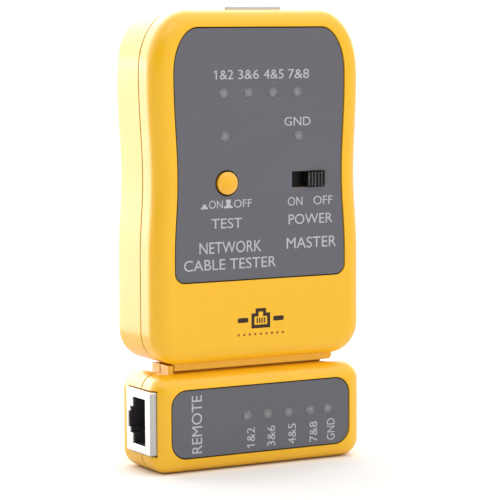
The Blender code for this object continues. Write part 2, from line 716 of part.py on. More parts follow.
def master_front_holes(prefix):
    """Cutters for all that passes through the master's front wall and its label."""
    made = []
    for name, (x, down) in MASTER_LIGHTS.items():
        made.append(light_hole(f"{prefix}_{name}", x, MASTER_TOP - down))
    radius = BUTTON_RADIUS + BUTTON_HOLE_GAP
    low, high = FRONT_Y - CUT_PAST, INNER_FRONT + CUT_PAST
    button_z = MASTER_TOP - BUTTON_DOWN
    made.append(as_cutter(rod(f"{prefix}_button", BUTTON_X, button_z, radius, low, high, 24)))
    made.append(power_slot(f"{prefix}_power", high))
    return made


def build_master_case():
    side = JACK_WIDTH / 2 + CASE_TO_JACK
    low, high = (-side, MASTER_TOP - 3 * WALL), (side, MASTER_TOP + CUT_PAST)
    opening = jack_opening("master_jack_opening", FRONT_Y + MASTER_JACK_FRONT, low, high)
    channel = channel_cutters()
    front = front_tray("master_front_shell", master_outline)
    places = master_screw_places()
    add_front_bosses(front, places, BOSS_RADIUS)
    join(front, neck_half("front_neck", PARTING_Y - NECK_HALF_DEPTH, PARTING_Y - DOCK_SEAM / 2))
    cut(front, *channel)
    cut(front, recess("master_label_recess", master_label_outline(LABEL_SIDE_GAP)))
    cut(front, *master_front_holes("front_hole"), opening)
    keep(front, YELLOW, 0.32)
    rear = rear_tray("master_rear_shell", master_outline, MASTER_REAR_Y)
    add_rear_bosses(rear, places, MASTER_REAR_Y, BOSS_RADIUS)
    join(rear, neck_half("rear_neck", PARTING_Y + DOCK_SEAM / 2, PARTING_Y + NECK_HALF_DEPTH))
    cut(rear, *channel)
    cut(rear, opening, door_slab("door_opening", GAP, MASTER_REAR_Y - 3 * WALL, MASTER_REAR_Y + CUT_PAST))
    keep(rear, YELLOW, 0.32)


def master_screw_places():
    return [(x, MASTER_TOP - down) for down in MASTER_SCREWS_DOWN for x in (-MASTER_SCREW_X, MASTER_SCREW_X)]


def door_slab(name, outset, y_low, y_high):
    half = DOOR_HALF_WIDTH + outset
    low = MASTER_Z + DOOR_UP - outset
    high = MASTER_Z + DOOR_UP + DOOR_HEIGHT + outset
    obj = slab(name, rounded_rectangle(-half, half, low, high, DOOR_CORNER + outset, 3), y_low, y_high)
    return as_cutter(obj) if outset else obj


def build_door():
    """The battery door, which swings on two lugs behind the wall below it."""
    hinge = bpy.data.objects.new("door_hinge", None)
    hinge.location = (0.0, MASTER_REAR_Y, MASTER_Z + DOOR_UP)
    parts.objects.link(hinge)
    inner = MASTER_REAR_Y - WALL
    door = door_slab("battery_door", 0.0, inner, MASTER_REAR_Y)
    low_z = MASTER_Z + DOOR_UP
    for side in (-1, 1):
        x_low = side * DOOR_LUG_X - DOOR_LUG_WIDTH / 2
        x_high = x_low + DOOR_LUG_WIDTH
        y_low = inner - GAP - DOOR_LUG_THICKNESS
        low = (x_low, y_low, low_z - GAP - DOOR_LUG_DROP)
        tongue = box(f"door_tongue_{side}", low, (x_high, inner - GAP, low_z + 2 * CUT_PAST))
        low = (x_low, y_low, low_z + CUT_PAST / 2)
        root = box(f"door_root_{side}", low, (x_high, inner + WALL / 3, low_z + 2 * CUT_PAST))
        join(door, as_cutter(tongue), as_cutter(root))
    battery_rear = INNER_FRONT + GAP + BATTERY_THICKNESS
    for i, x in enumerate(DOOR_RIBS):
        low = (x - DOOR_RIB_WIDTH / 2, battery_rear + GAP, low_z + DOOR_RIB_ENDS)
        high = (x + DOOR_RIB_WIDTH / 2, inner + WALL / 3, low_z + DOOR_HEIGHT - DOOR_RIB_ENDS)
        join(door, as_cutter(box(f"door_rib_{i}", low, high)))
    width, depth, height = DOOR_GRIP_SIZE
    for i in range(DOOR_GRIPS):
        z = low_z + DOOR_HEIGHT - (i + 1.5) * DOOR_GRIP_PITCH
        low = (-width / 2, MASTER_REAR_Y - depth, z)
        grip = box(f"door_grip_{i}", low, (width / 2, MASTER_REAR_Y + CUT_PAST, z + height))
        cut(door, as_cutter(grip))
    keep(door, YELLOW, 0.32, 0.0, hinge)


def build_label(name, outline, holes):
    low = FRONT_Y + LABEL_SUNK
    label = slab(name, outline, low, low + LABEL_THICKNESS)
    cut(label, *holes)
    return label


def build_battery():
    low_z = MASTER_Z + WALL + BATTERY_UP
    high_z = low_z + BATTERY_HEIGHT
    low_y = INNER_FRONT + GAP
    high_y = low_y + BATTERY_THICKNESS
    right = BATTERY_LEFT + BATTERY_LENGTH
    battery = box("battery", (BATTERY_LEFT, low_y, low_z), (right, high_y, high_z))
    bevel = battery.modifiers.new("rounded", "BEVEL")
    bevel.width = BATTERY_EDGE
    bevel.segments = 2
    snap_left = right + GAP
    snap_low = (snap_left, low_y + SNAP_MARGIN, low_z + SNAP_MARGIN)
    snap_high = (snap_left + SNAP_THICKNESS, high_y - SNAP_MARGIN, high_z - SNAP_MARGIN)
    snap = box("battery_snap", snap_low, snap_high)
    middle = (low_z + high_z) / 2
    for i, radius in enumerate(TERMINAL_RADII):
        z = middle + (i - 0.5) * TERMINAL_PITCH
        post = rod(f"terminal_{i}", 0.0, 0.0, radius, -CUT_PAST, TERMINAL_LENGTH, 12)
        pocket = rod(f"terminal_pocket_{i}", 0.0, 0.0, radius + GAP, -CUT_PAST, TERMINAL_LENGTH + GAP, 12)
        for obj in (post, pocket):
            obj.rotation_euler = (0.0, math.pi / 2, 0.0)
            obj.location = (right + (TERMINAL_LENGTH - CUT_PAST) / 2, (low_y + high_y) / 2, z)
        join(battery, as_cutter(post))
        cut(snap, as_cutter(pocket))
    keep(battery, BLACK, 0.3, 0.4)
    keep(snap, BLACK, 0.6)
    board_z = MAIN_BOARD_Z
    x = snap_left + SNAP_THICKNESS / 2
    front_y = MASTER_BOARD_Y - WIRE_RADIUS - GAP
    top = snap_high[2] + GAP + WIRE_RADIUS * 0.2
    heights = [board_z + step for step in WIRE_STEPS]
    for name, colour, depth, along in (
        ("red_wire", RED, WIRE_DEPTHS[0], WIRE_ALONG[0]),
        ("black_wire", BLACK, WIRE_DEPTHS[1], WIRE_ALONG[1]),
    ):
        y = low_y + depth
        end_x = x - along - WIRE_BEND / 2
        route = [
            (x, y, top),
            (x, y, heights[0]),
            (x - WIRE_BEND, y + WIRE_BEND, heights[1]),
            (x - along, front_y - WIRE_BEND, heights[2]),
            (end_x, front_y, heights[3]),
            (end_x, front_y, heights[4]),
        ]
        keep(wire(name, route, WIRE_RADIUS), colour, 0.5)


def build_main_board():
    half = MAIN_BOARD_HALF
    outline = rounded_rectangle(-half, half, MAIN_BOARD_Z, MAIN_BOARD_HIGH, BOARD_CORNER, 2)
    board = slab("main_board", outline, MASTER_BOARD_Y, MASTER_BOARD_Y + BOARD_THICKNESS)
    keep(board, GREEN, 0.4)
    wide, thick, tall = CHIP_SIZE
    z = MASTER_TOP - CHIP_DOWN
    low = (-wide / 2, MASTER_BOARD_Y - GAP - thick, z - tall / 2)
    keep(box("controller_chip", low, (wide / 2, MASTER_BOARD_Y - GAP, z + tall / 2)), BLACK, 0.5)


def build_test_button():
    z = MASTER_TOP - BUTTON_DOWN
    press = bpy.data.objects.new("test_button_press", None)
    press.location = (BUTTON_X, FRONT_Y, z)
    parts.objects.link(press)
    top = FRONT_Y - BUTTON_PROUD
    flange = INNER_FRONT + GAP
    under = flange + BUTTON_FLANGE_THICKNESS
    ball = (BUTTON_RADIUS**2 + BUTTON_CROWN**2) / (2 * BUTTON_CROWN)  # radius of the crown's sphere
    edge = math.asin(BUTTON_RADIUS / ball)
    profile = [(0.0, top)]
    for i in (1, 2, 3):
        angle = edge * i / 3
        profile.append((ball * math.sin(angle), top + ball * (1 - math.cos(angle))))
    profile += [(BUTTON_RADIUS, flange), (BUTTON_FLANGE, flange), (BUTTON_FLANGE, under), (0.0, under)]
    keep(turned("test_button", BUTTON_X, z, profile, 24), YELLOW, 0.3, 0.0, press)
    half = TEST_SWITCH_SIDE / 2
    rear = MASTER_BOARD_Y - GAP
    body_y = rear - TEST_SWITCH_HEIGHT
    plunger = rod("test_plunger", BUTTON_X, z, PLUNGER_RADIUS, under + GAP, body_y + PLUNGER_ENTRY, 14)
    keep(plunger, BLACK, 0.5, 0.0, press)
    low = (BUTTON_X - half, body_y, z - half)
    body = box("test_switch", low, (BUTTON_X + half, rear, z + half))
    radius = PLUNGER_RADIUS + PLUNGER_CLEARANCE
    bore = rod("test_bore", BUTTON_X, z, radius, body_y - CUT_PAST, body_y + TEST_BORE_DEPTH, 14)
    cut(body, as_cutter(bore))
    keep(body, BLACK, 0.5)
    start = under + GAP + SPRING_WIRE
    length = body_y - GAP - SPRING_WIRE - start
    coil = PLUNGER_RADIUS + GAP + SPRING_WIRE
    count = SPRING_TURNS * SPRING_STEPS
    route = []
    for i in range(count + 1):
        angle = 2 * math.pi * i / SPRING_STEPS
        x = BUTTON_X + coil * math.cos(angle)
        route.append((x, start + length * i / count, z + coil * math.sin(angle)))
    keep(wire("test_spring", route, SPRING_WIRE), STEEL, 0.3, 1.0)


def build_power_switch():
    z = MASTER_TOP - POWER_DOWN
    slide = bpy.data.objects.new("power_knob_slide", None)
    right = POWER_RIGHT - GAP
    middle = right - KNOB_WIDTH / 2
    slide.location = (middle, FRONT_Y, z)
    parts.objects.link(slide)
    travel = POWER_RIGHT - POWER_LEFT - KNOB_WIDTH - 2 * GAP
    top = LABEL_FACE - KNOB_PROUD
    half = POWER_SLOT_HEIGHT / 2 - GAP
    cover_y = INNER_FRONT + GAP
    under = cover_y + COVER_THICKNESS
    knob = box("power_knob", (right - KNOB_WIDTH, top, z - half), (right, under, z + half))
    tall = POWER_SLOT_HEIGHT / 2 + COVER_OVERLAP
    reach = KNOB_WIDTH / 2 + travel + GAP + COVER_OVERLAP
    low = (middle - reach, cover_y, z - tall)
    cover = box("knob_cover", low, (middle + reach, under, z + tall))
    rear = MASTER_BOARD_Y - GAP
    base_y = rear - POWER_BASE_HEIGHT
    wide, high = KNOB_STEM_WIDTH / 2, KNOB_STEM_HEIGHT / 2
    low = (middle - wide, cover_y + COVER_THICKNESS / 2, z - high)
    stem = box("knob_stem", low, (middle + wide, base_y + KNOB_STEM_ENTRY, z + high))
    join(knob, as_cutter(cover), as_cutter(stem))
    pitch = KNOB_WIDTH / (KNOB_GROOVES + 1)
    for i in range(KNOB_GROOVES):
        x = right - KNOB_WIDTH + (i + 1) * pitch - KNOB_GROOVE_WIDTH / 2
        low = (x, top - CUT_PAST, z - half - CUT_PAST)
        high_corner = (x + KNOB_GROOVE_WIDTH, top + KNOB_GROOVE_DEPTH, z + half + CUT_PAST)
        cut(knob, as_cutter(box(f"knob_groove_{i}", low, high_corner)))
    keep(knob, BLACK, 0.5, 0.0, slide)
    run_left, run_right = middle - wide - travel - GAP, middle + wide + GAP
    low = (run_left - FRAME_MARGIN, base_y, z - high - FRAME_MARGIN / 2)
    base = box("power_switch_base", low, (run_right + FRAME_MARGIN, rear, z + high + FRAME_MARGIN / 2))
    low = (run_left, base_y - CUT_PAST, z - high - GAP)
    well = box("power_well", low, (run_right, base_y + POWER_WELL_DEPTH, z + high + GAP))
    cut(base, as_cutter(well))
    keep(base, BLACK, 0.5)
    frame_high = base_y - GAP
    low = (run_left - FRAME_MARGIN, frame_high - FRAME_THICKNESS, z - high - FRAME_MARGIN / 2)
    far = (run_right + FRAME_MARGIN, frame_high, z + high + FRAME_MARGIN / 2)
    frame = box("power_switch_frame", low, far)
    low = (run_left, frame_high - FRAME_THICKNESS - CUT_PAST, z - high - GAP)
    window = box("frame_window", low, (run_right, frame_high + CUT_PAST, z + high + GAP))
    cut(frame, as_cutter(window))
    keep(frame, STEEL, 0.3, 1.0)


def build_remote():
    remote = bpy.data.objects.new("remote_slide", None)
    remote.location = (0.0, PARTING_Y, REMOTE_HEIGHT)
    parts.objects.link(remote)
    front_y = FRONT_Y + REMOTE_JACK_FRONT
    side = JACK_WIDTH / 2 + CASE_TO_JACK
    left = -REMOTE_WIDTH / 2
    low, high = (left - CUT_PAST, REMOTE_JACK_UP - side), (left + 3 * WALL, REMOTE_JACK_UP + side)
    opening = jack_opening("remote_jack_opening", front_y, low, high)
    front = front_tray("remote_front_shell", remote_outline)
    jack_end = left - REMOTE_JACK_PROUD + JACK_DEPTH
    middle = REMOTE_HEIGHT / 2
    places = ((jack_end + REMOTE_SCREW_FROM_JACK, middle), (REMOTE_SCREW_X, middle))
    add_front_bosses(front, places, REMOTE_BOSS_RADIUS)
    join(front, *rail_half("front_rail", -1))
    holes = [light_hole(f"front_{name}", x, REMOTE_LIGHT_UP) for name, x in REMOTE_LIGHTS.items()]
    cut(front, recess("remote_label_recess", remote_label_outline(LABEL_SIDE_GAP)), *holes, opening)
    keep(front, YELLOW, 0.32, 0.0, remote)
    rear = rear_tray("remote_rear_shell", remote_outline, REMOTE_REAR_Y)
    add_rear_bosses(rear, places, REMOTE_REAR_Y, REMOTE_BOSS_RADIUS + GAP)
    join(rear, *rail_half("rear_rail", 1))
    cut(rear, opening)
    keep(rear, YELLOW, 0.32, 0.0, remote)
    keep(build_label("remote_label", remote_label_outline(0.0), holes), GREY, 0.5, 0.0, remote)
    board_high = REMOTE_HEIGHT - REMOTE_BOARD_TOP
    board_left = left + WALL + GAP
    outline = rounded_rectangle(
        board_left, REMOTE_BOARD_RIGHT, REMOTE_BOARD_LOW, board_high, BOARD_CORNER / 2, 2
    )
    board = slab("remote_board", outline, REMOTE_BOARD_Y, REMOTE_BOARD_Y + BOARD_THICKNESS)
    x, z = places[0]
    low, high = REMOTE_BOARD_Y - CUT_PAST, REMOTE_BOARD_Y + BOARD_THICKNESS + CUT_PAST
    cut(board, as_cutter(rod("board_hole", x, z, REMOTE_BOSS_RADIUS + 2 * GAP, low, high, 16)))
    keep(board, GREEN, 0.4, 0.0, remote)
    for name, x in REMOTE_LIGHTS.items():
        light(name, x, REMOTE_LIGHT_UP, REMOTE_BOARD_Y, remote)
    place = (left - REMOTE_JACK_PROUD, 0.0, REMOTE_JACK_UP)
    jack("remote", place, -math.pi / 2, front_y, remote)
    for i, (x, z) in enumerate(places):
        screw(f"remote_screw_{i + 1}", x, z, REMOTE_REAR_Y, remote)


clear_scene()
parts = new_collection("network_cable_tester")
cutters = new_collection("cutters")
build_master_case()
build_door()
label_holes = master_front_holes("label_hole")
keep(build_label("master_label", master_label_outline(0.0), label_holes), GREY, 0.5)
build_battery()
build_main_board()
build_test_button()
build_power_switch()
jack("master", (0.0, 0.0, MASTER_TOP + JACK_PROUD), 0.0, FRONT_Y + MASTER_JACK_FRONT)
for light_name, (light_x, light_down) in MASTER_LIGHTS.items():
    light(light_name, light_x, MASTER_TOP - light_down, MASTER_BOARD_Y)
for number, (screw_x, screw_z) in enumerate(master_screw_places(), 1):
    screw(f"master_screw_{number}", screw_x, screw_z, MASTER_REAR_Y)
build_remote()
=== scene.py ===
import json
import math

import bmesh
import bpy
from mathutils import Matrix, Vector

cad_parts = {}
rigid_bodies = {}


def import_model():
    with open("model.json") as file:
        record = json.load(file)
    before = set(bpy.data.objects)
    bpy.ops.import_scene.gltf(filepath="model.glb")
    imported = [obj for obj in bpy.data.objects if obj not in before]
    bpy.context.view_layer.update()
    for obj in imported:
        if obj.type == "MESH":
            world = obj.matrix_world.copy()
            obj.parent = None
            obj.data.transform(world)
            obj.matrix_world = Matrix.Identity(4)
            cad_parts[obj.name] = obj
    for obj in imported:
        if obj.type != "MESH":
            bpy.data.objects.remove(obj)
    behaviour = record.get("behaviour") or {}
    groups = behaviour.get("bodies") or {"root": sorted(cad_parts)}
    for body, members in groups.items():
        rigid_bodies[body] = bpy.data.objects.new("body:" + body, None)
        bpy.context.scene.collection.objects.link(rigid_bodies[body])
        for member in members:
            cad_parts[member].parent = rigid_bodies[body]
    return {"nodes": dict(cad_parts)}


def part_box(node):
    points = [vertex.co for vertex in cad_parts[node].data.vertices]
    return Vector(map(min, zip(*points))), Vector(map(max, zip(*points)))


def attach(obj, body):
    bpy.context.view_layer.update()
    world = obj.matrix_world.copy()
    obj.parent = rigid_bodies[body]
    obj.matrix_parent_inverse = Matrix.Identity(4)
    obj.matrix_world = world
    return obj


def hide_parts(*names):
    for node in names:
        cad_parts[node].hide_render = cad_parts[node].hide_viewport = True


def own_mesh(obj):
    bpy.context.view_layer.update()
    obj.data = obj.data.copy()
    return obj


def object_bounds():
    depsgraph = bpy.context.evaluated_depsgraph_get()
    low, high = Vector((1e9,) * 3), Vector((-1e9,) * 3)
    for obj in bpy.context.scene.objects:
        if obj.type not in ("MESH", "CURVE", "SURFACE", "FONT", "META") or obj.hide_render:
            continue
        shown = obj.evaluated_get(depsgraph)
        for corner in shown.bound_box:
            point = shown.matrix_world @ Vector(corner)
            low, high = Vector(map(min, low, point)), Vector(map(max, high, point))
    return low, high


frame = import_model()
cadLow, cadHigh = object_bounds()
millimetre = 0.001  # pieces are worked out in millimetres and scaled as they are finished

workbench = bpy.data.collections.new("workbench")
bpy.context.scene.collection.children.link(workbench)


def boxOf(node):
    low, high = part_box(node)
    return Vector(low) / millimetre, Vector(high) / millimetre


def centreOf(node):
    low, high = boxOf(node)
    return (low + high) / 2


def operator(operation, swapped=False):
    def apply(self, other):
        first, second = (other, self) if swapped else (self, other)
        return self.graph.node("ShaderNodeMath", {"operation": operation}, {0: first, 1: second})

    return apply


class Signal:  # a socket that takes part in Python sums
    __add__, __radd__ = operator("ADD"), operator("ADD", True)
    __sub__, __rsub__ = operator("SUBTRACT"), operator("SUBTRACT", True)
    __mul__, __rmul__ = operator("MULTIPLY"), operator("MULTIPLY", True)
    __truediv__ = operator("DIVIDE")
    __gt__, __lt__ = operator("GREATER_THAN"), operator("LESS_THAN")

    def __init__(self, graph, socket):
        self.graph, self.socket = graph, socket

    def clamp(self):
        return self.graph.node("ShaderNodeClamp", {}, {0: self})

    def out(self, name):
        return Signal(self.graph, self.socket.node.outputs[name])


class Graph:  # a shader or geometry tree
    def __init__(self, tree):
        self.tree = tree

    def node(self, kind, settings=None, inputs=None, output=0):
        made = self.tree.nodes.new(kind)
        for key, value in (settings or {}).items():
            if key == "stops":
                ramp = made.color_ramp
                while len(ramp.elements) < len(value):
                    ramp.elements.new(0.5)
                for element, (place, colour) in zip(ramp.elements, value):
                    element.position = place
                    element.color = (*colour, 1.0)
            else:
                setattr(made, key, value)
        for key, value in (inputs or {}).items():
            self.feed(made.inputs[key], value)
        return Signal(self, made.outputs[output]) if len(made.outputs) else made

    def feed(self, socket, value):
        if isinstance(value, Signal):
            self.tree.links.new(value.socket, socket)
        else:
            socket.default_value = value


def linear(red, green, blue):  # a screen colour, 0 to 255, as the shader wants it
    shares = [value / 255 for value in (red, green, blue)]
    return tuple(s / 12.92 if s < 0.04 else ((s + 0.055) / 1.055) ** 2.4 for s in shares)


def tinted(colour, gain):
    return (*[min(part * gain, 1.0) for part in colour], 1.0)


# each finish's lightening share sets how much positive edge values lighten its colour: edge wear on the case,
# and a painted highlight on the button rim and the knob's ridge crests
finishes = {
    "caseYellow": {
        "colour": (255, 193, 20), "roughness": 0.42, "grain": 1.0,
        "specular": 0.25, "coat": 0.8, "wearAndHighlight": 0.07,
    },
    "buttonOrange": {
        "colour": (255, 186, 30), "roughness": 0.24, "grain": 0.4,
        "specular": 0.4, "coat": 0.4, "wearAndHighlight": 0.5,
    },
    "labelGrey": {"colour": (101, 101, 108), "roughness": 0.5, "grain": 0.7, "specular": 0.45, "wearAndHighlight": 0.1},
    "inkGrey": {"colour": (190, 192, 198), "roughness": 0.5, "grain": 0.3, "specular": 0.4},
    "markBrown": {"colour": (58, 36, 18), "roughness": 0.45, "grain": 0.3, "specular": 0.4},
    "markRed": {"colour": (150, 72, 16), "roughness": 0.45, "grain": 0.3, "specular": 0.4},
    # glue layer coloured dark: seen in the label gaps, it is painted shade
    "adhesiveShadeSheet": {"colour": (48, 34, 16), "roughness": 0.8, "grain": 1.0, "specular": 0.3},
    "blackPlastic": {"colour": (25, 24, 25), "roughness": 0.36, "grain": 0.8, "specular": 0.25, "wearAndHighlight": 0.2},
    "housingBlack": {"colour": (60, 58, 60), "roughness": 0.4, "grain": 0.8, "specular": 0.3, "wearAndHighlight": 0.1},
    "knobBlack": {"colour": (20, 20, 21), "roughness": 0.34, "grain": 0.6, "specular": 0.3, "wearAndHighlight": 1.0},
    "chipEpoxy": {"colour": (30, 30, 32), "roughness": 0.55, "grain": 1.2, "specular": 0.4, "wearAndHighlight": 0.1},
    "redInsulation": {"colour": (176, 18, 16), "roughness": 0.35, "grain": 0.3, "specular": 0.5, "coat": 0.2},
    "blackInsulation": {
        "colour": (16, 16, 17), "roughness": 0.35, "grain": 0.3, "specular": 0.4, "coat": 0.2,
    },
}
metals = {
    "shieldSteel": {"colour": (232, 230, 226), "roughness": 0.42, "streak": (260.0, 260.0, 4200.0)},
    "screwSteel": {"colour": (214, 212, 206), "roughness": 0.3, "streak": (1500.0, 1500.0, 1500.0)},
    "springSteel": {"colour": (205, 205, 205), "roughness": 0.25, "streak": (900.0, 900.0, 900.0)},
    "contactGold": {"colour": (232, 190, 112), "roughness": 0.2, "streak": (900.0, 900.0, 900.0)},
}


def newMaterial(name):
    made = bpy.data.materials.new(name)
    made.use_nodes = True
    graph = Graph(made.node_tree)
    shader = made.node_tree.nodes["Principled BSDF"]
    place = graph.node("ShaderNodeTexCoord").out("Object")
    return made, graph, shader, place


def noise(graph, place, scale, detail=2.0):
    return graph.node("ShaderNodeTexNoise", {}, {"Vector": place, "Scale": scale, "Detail": detail})


def scaled(graph, place, factors):
    return graph.node("ShaderNodeVectorMath", {"operation": "MULTIPLY"}, {0: place, 1: factors})


def blendColour(graph, share, first, second):
    return graph.node("ShaderNodeMix", {"data_type": "RGBA"}, {0: share, 6: first, 7: second}, 2)


def emboss(graph, shader, height, depth):
    made = graph.node("ShaderNodeBump", {}, {"Height": height, "Distance": depth, "Strength": 0.6})
    graph.feed(shader.inputs["Normal"], made)


def plastic(name):
    look = {"coat": 0.0, "wearAndHighlight": 0.0, **finishes[name]}
    made, graph, shader, place = newMaterial(name)
    patches = noise(graph, place, 70.0, 4.0)  # flow of the melt, about 14 mm across
    grain = noise(graph, place, 4200.0, 3.0)  # spark-eroded mould grain, about a quarter millimetre
    rubbed = noise(graph, scaled(graph, place, (900.0, 900.0, 160.0)), 1.0, 3.0)  # fine handling marks
    edge = graph.node("ShaderNodeAttribute", {"attribute_name": "edge"}).out("Fac")
    # edge above nought lightens the colour as wear and painted highlight; edge below nought darkens it as
    # painted shade
    wearAndHighlight, paintedShade = edge.clamp(), (0.0 - edge).clamp()
    base = linear(*look["colour"])
    colour = blendColour(graph, patches, tinted(base, 0.98), tinted(base, 1.02))
    wearAndHighlightShare = wearAndHighlight * (((noise(graph, place, 900.0, 4.0) - 0.55) * 6.0).clamp() * 0.6 + 0.4) * look["wearAndHighlight"]
    colour = blendColour(graph, wearAndHighlightShare, colour, tinted([part * 0.8 + 0.2 for part in base], 1.0))
    paintedShadeColour = [part * part * 0.04 for part in base]  # painted shade for gaps, recesses and hole walls, standing in for the little light that reaches them
    colour = blendColour(graph, paintedShade, colour, tinted(paintedShadeColour, 1.0))
    graph.feed(shader.inputs["Base Color"], colour)
    roughness = look["roughness"] + (patches - 0.5) * 0.06 + (rubbed - 0.5) * 0.1 - wearAndHighlight * 0.03
    graph.feed(shader.inputs["Roughness"], roughness.clamp())
    emboss(graph, shader, grain + rubbed * 0.3, 0.000012 * look["grain"])
    shader.inputs["Specular IOR Level"].default_value = look["specular"]
    shader.inputs["Coat Weight"].default_value = look["coat"]
    shader.inputs["Coat Roughness"].default_value = 0.2
    return made


def metal(name):
    look = metals[name]
    made, graph, shader, place = newMaterial(name)
    streaks = noise(graph, scaled(graph, place, look["streak"]), 1.0, 3.0)
    stains = noise(graph, place, 240.0, 4.0)
    base = linear(*look["colour"])
    colour = blendColour(graph, stains, tinted(base, 0.96), tinted(base, 1.03))
    graph.feed(shader.inputs["Base Color"], colour)
    roughness = look["roughness"] + (streaks - 0.5) * 0.16 + (stains - 0.5) * 0.06
    graph.feed(shader.inputs["Roughness"], roughness.clamp())
    shader.inputs["Metallic"].default_value = 1.0
    emboss(graph, shader, streaks, 0.000002)
    return made


def lensMaterial():  # milky epoxy, its centre painted lighter as painted light scattered in the dome, with the die and its cup showing as flecks
    made, graph, shader, place = newMaterial("lensEpoxy")
    out = graph.node("ShaderNodeAttribute", {"attribute_name": "edge"}).out("Fac")
    flecks = noise(graph, place, 1500.0, 2.0)
    # lighter towards the centre: painted light scattered in the dome
    share = (1.0 - out) * 1.1 + (flecks - 0.5) * 0.9
    ramp = graph.node(
        "ShaderNodeValToRGB",
        {"stops": [(0.0, (0.125, 0.128, 0.14)), (0.35, (0.17, 0.173, 0.183)), (1.0, (0.26, 0.265, 0.275))]},
        {0: share.clamp()},
    )
    graph.feed(shader.inputs["Base Color"], ramp)
    graph.feed(shader.inputs["Roughness"], (0.22 + flecks * 0.12).clamp())
    shader.inputs["Coat Weight"].default_value = 0.3
    shader.inputs["Coat Roughness"].default_value = 0.15
    return made


def boardMaterial():  # green solder mask over copper tracks
    made, graph, shader, place = newMaterial("solderMask")
    axes = graph.node("ShaderNodeSeparateXYZ", {}, {0: place})
    across, up = axes.out("X"), axes.out("Z")
    mosaic = graph.node("ShaderNodeTexVoronoi", {"distance": "CHEBYCHEV"}, {"Vector": place, "Scale": 210.0})
    split = graph.node("ShaderNodeSeparateColor", {}, {0: mosaic.out("Color")}) > 0.5
    pitch = 0.00127
    lanes = []
    for way in (across, up):
        lanes.append(graph.node("ShaderNodeMath", {"operation": "FRACT"}, {0: way / pitch}) < 0.42)
    tracks = lanes[0] * split + lanes[1] * (1.0 - split)
    vias = graph.node("ShaderNodeTexVoronoi", {}, {"Vector": place, "Scale": 320.0}) < 0.11
    green = blendColour(graph, tracks * 0.7, (0.012, 0.085, 0.03, 1.0), (0.03, 0.2, 0.06, 1.0))
    graph.feed(shader.inputs["Base Color"], blendColour(graph, vias, green, (0.62, 0.62, 0.6, 1.0)))
    graph.feed(shader.inputs["Metallic"], vias * 0.9)
    graph.feed(shader.inputs["Roughness"], (0.3 + noise(graph, place, 600.0) * 0.2).clamp())
    emboss(graph, shader, tracks + vias, 0.00002)
    return made


def jacketMaterial():  # printed steel: black, with a copper-coloured band at the terminal end
    made, graph, shader, place = newMaterial("batteryJacket")
    low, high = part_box("battery")
    across = graph.node("ShaderNodeSeparateXYZ", {}, {0: place}).out("X")
    band = across > high[0] - 0.3 * (high[0] - low[0])
    scratches = noise(graph, scaled(graph, place, (160.0, 1200.0, 1200.0)), 1.0, 4.0)
    colour = blendColour(graph, band, (0.012, 0.012, 0.014, 1.0), (0.52, 0.24, 0.09, 1.0))
    colour = blendColour(graph, (scratches > 0.64) * 0.35, colour, (0.5, 0.5, 0.5, 1.0))
    graph.feed(shader.inputs["Base Color"], colour)
    graph.feed(shader.inputs["Metallic"], 0.35 + band * 0.5)
    graph.feed(shader.inputs["Roughness"], (0.28 + scratches * 0.2).clamp())
    emboss(graph, shader, scratches, 0.00001)
    return made


paint = {name: plastic(name) for name in finishes}
paint.update({name: metal(name) for name in metals})
paint["lensEpoxy"] = lensMaterial()
paint["solderMask"] = boardMaterial()
paint["batteryJacket"] = jacketMaterial()
print("materials:", len(paint))


def meshFrom(name, bm):
    mesh = bpy.data.meshes.new(name)
    bmesh.ops.recalc_face_normals(bm, faces=bm.faces)
    bm.to_mesh(mesh)
    bm.free()
    made = bpy.data.objects.new(name, mesh)
    workbench.objects.link(made)
    return made


def faceOn(u, v, level):  # an outline seen from the front, its levels along Y
    return u, level, v


def upright(u, v, level):  # an outline seen from above, its levels along Z
    return u, v, level


def loft(name, rings, place=faceOn):
    bm = bmesh.new()
    layer = bm.verts.layers.float.new("edge")
    rows = []
    for outline, level, *edge in rings:
        row = []
        for u, v in outline:
            vertex = bm.verts.new(place(u, v, level))
            vertex[layer] = edge[0] if edge else 0.0
            row.append(vertex)
        rows.append(row)
    count = len(rows[0])
    for near, far in zip(rows, rows[1:]):
        for i in range(count):
            j = (i + 1) % count
            bm.faces.new((near[i], near[j], far[j], far[i]))
    bm.faces.new(reversed(rows[0]))
    bm.faces.new(rows[-1])
    return meshFrom(name, bm)


def circle(u, v, radius, sides=48):
    steps = [2 * math.pi * i / sides for i in range(sides)]
    return [(u + radius * math.cos(a), v + radius * math.sin(a)) for a in steps]


def turned(name, x, z, profile, sides=64):  # round about Y, from (radius, y, edge) points
    bm = bmesh.new()
    layer = bm.verts.layers.float.new("edge")
    rows = []
    for radius, y, *edge in profile:
        spots = circle(x, z, radius, sides) if radius else [(x, z)]
        row = [bm.verts.new((u, y, v)) for u, v in spots]
        for vertex in row:
            vertex[layer] = edge[0] if edge else 0.0
        rows.append(row)
    for near, far in zip(rows, rows[1:]):
        for i in range(sides):
            j = (i + 1) % sides
            corners = [near[i % len(near)], near[j % len(near)], far[j % len(far)], far[i % len(far)]]
            bm.faces.new(dict.fromkeys(corners))
    return meshFrom(name, bm)


def block(name, low, high, edge=0.0):
    low, high = Vector(low), Vector(high)
    bm = bmesh.new()
    layer = bm.verts.layers.float.new("edge")
    bmesh.ops.create_cube(bm, size=1.0)
    for vertex in bm.verts:
        vertex[layer] = edge
    bmesh.ops.scale(bm, vec=high - low, verts=bm.verts)
    bmesh.ops.translate(bm, vec=(low + high) / 2, verts=bm.verts)
    return meshFrom(name, bm)


def boolean(piece, other, operation):
    step = piece.modifiers.new(other.name, "BOOLEAN")
    step.operation = operation
    step.object = other
    step.solver = "EXACT"


def cut(piece, *others):
    for other in others:
        boolean(piece, other, "DIFFERENCE")


def weld(piece, *others):
    for other in others:
        boolean(piece, other, "UNION")


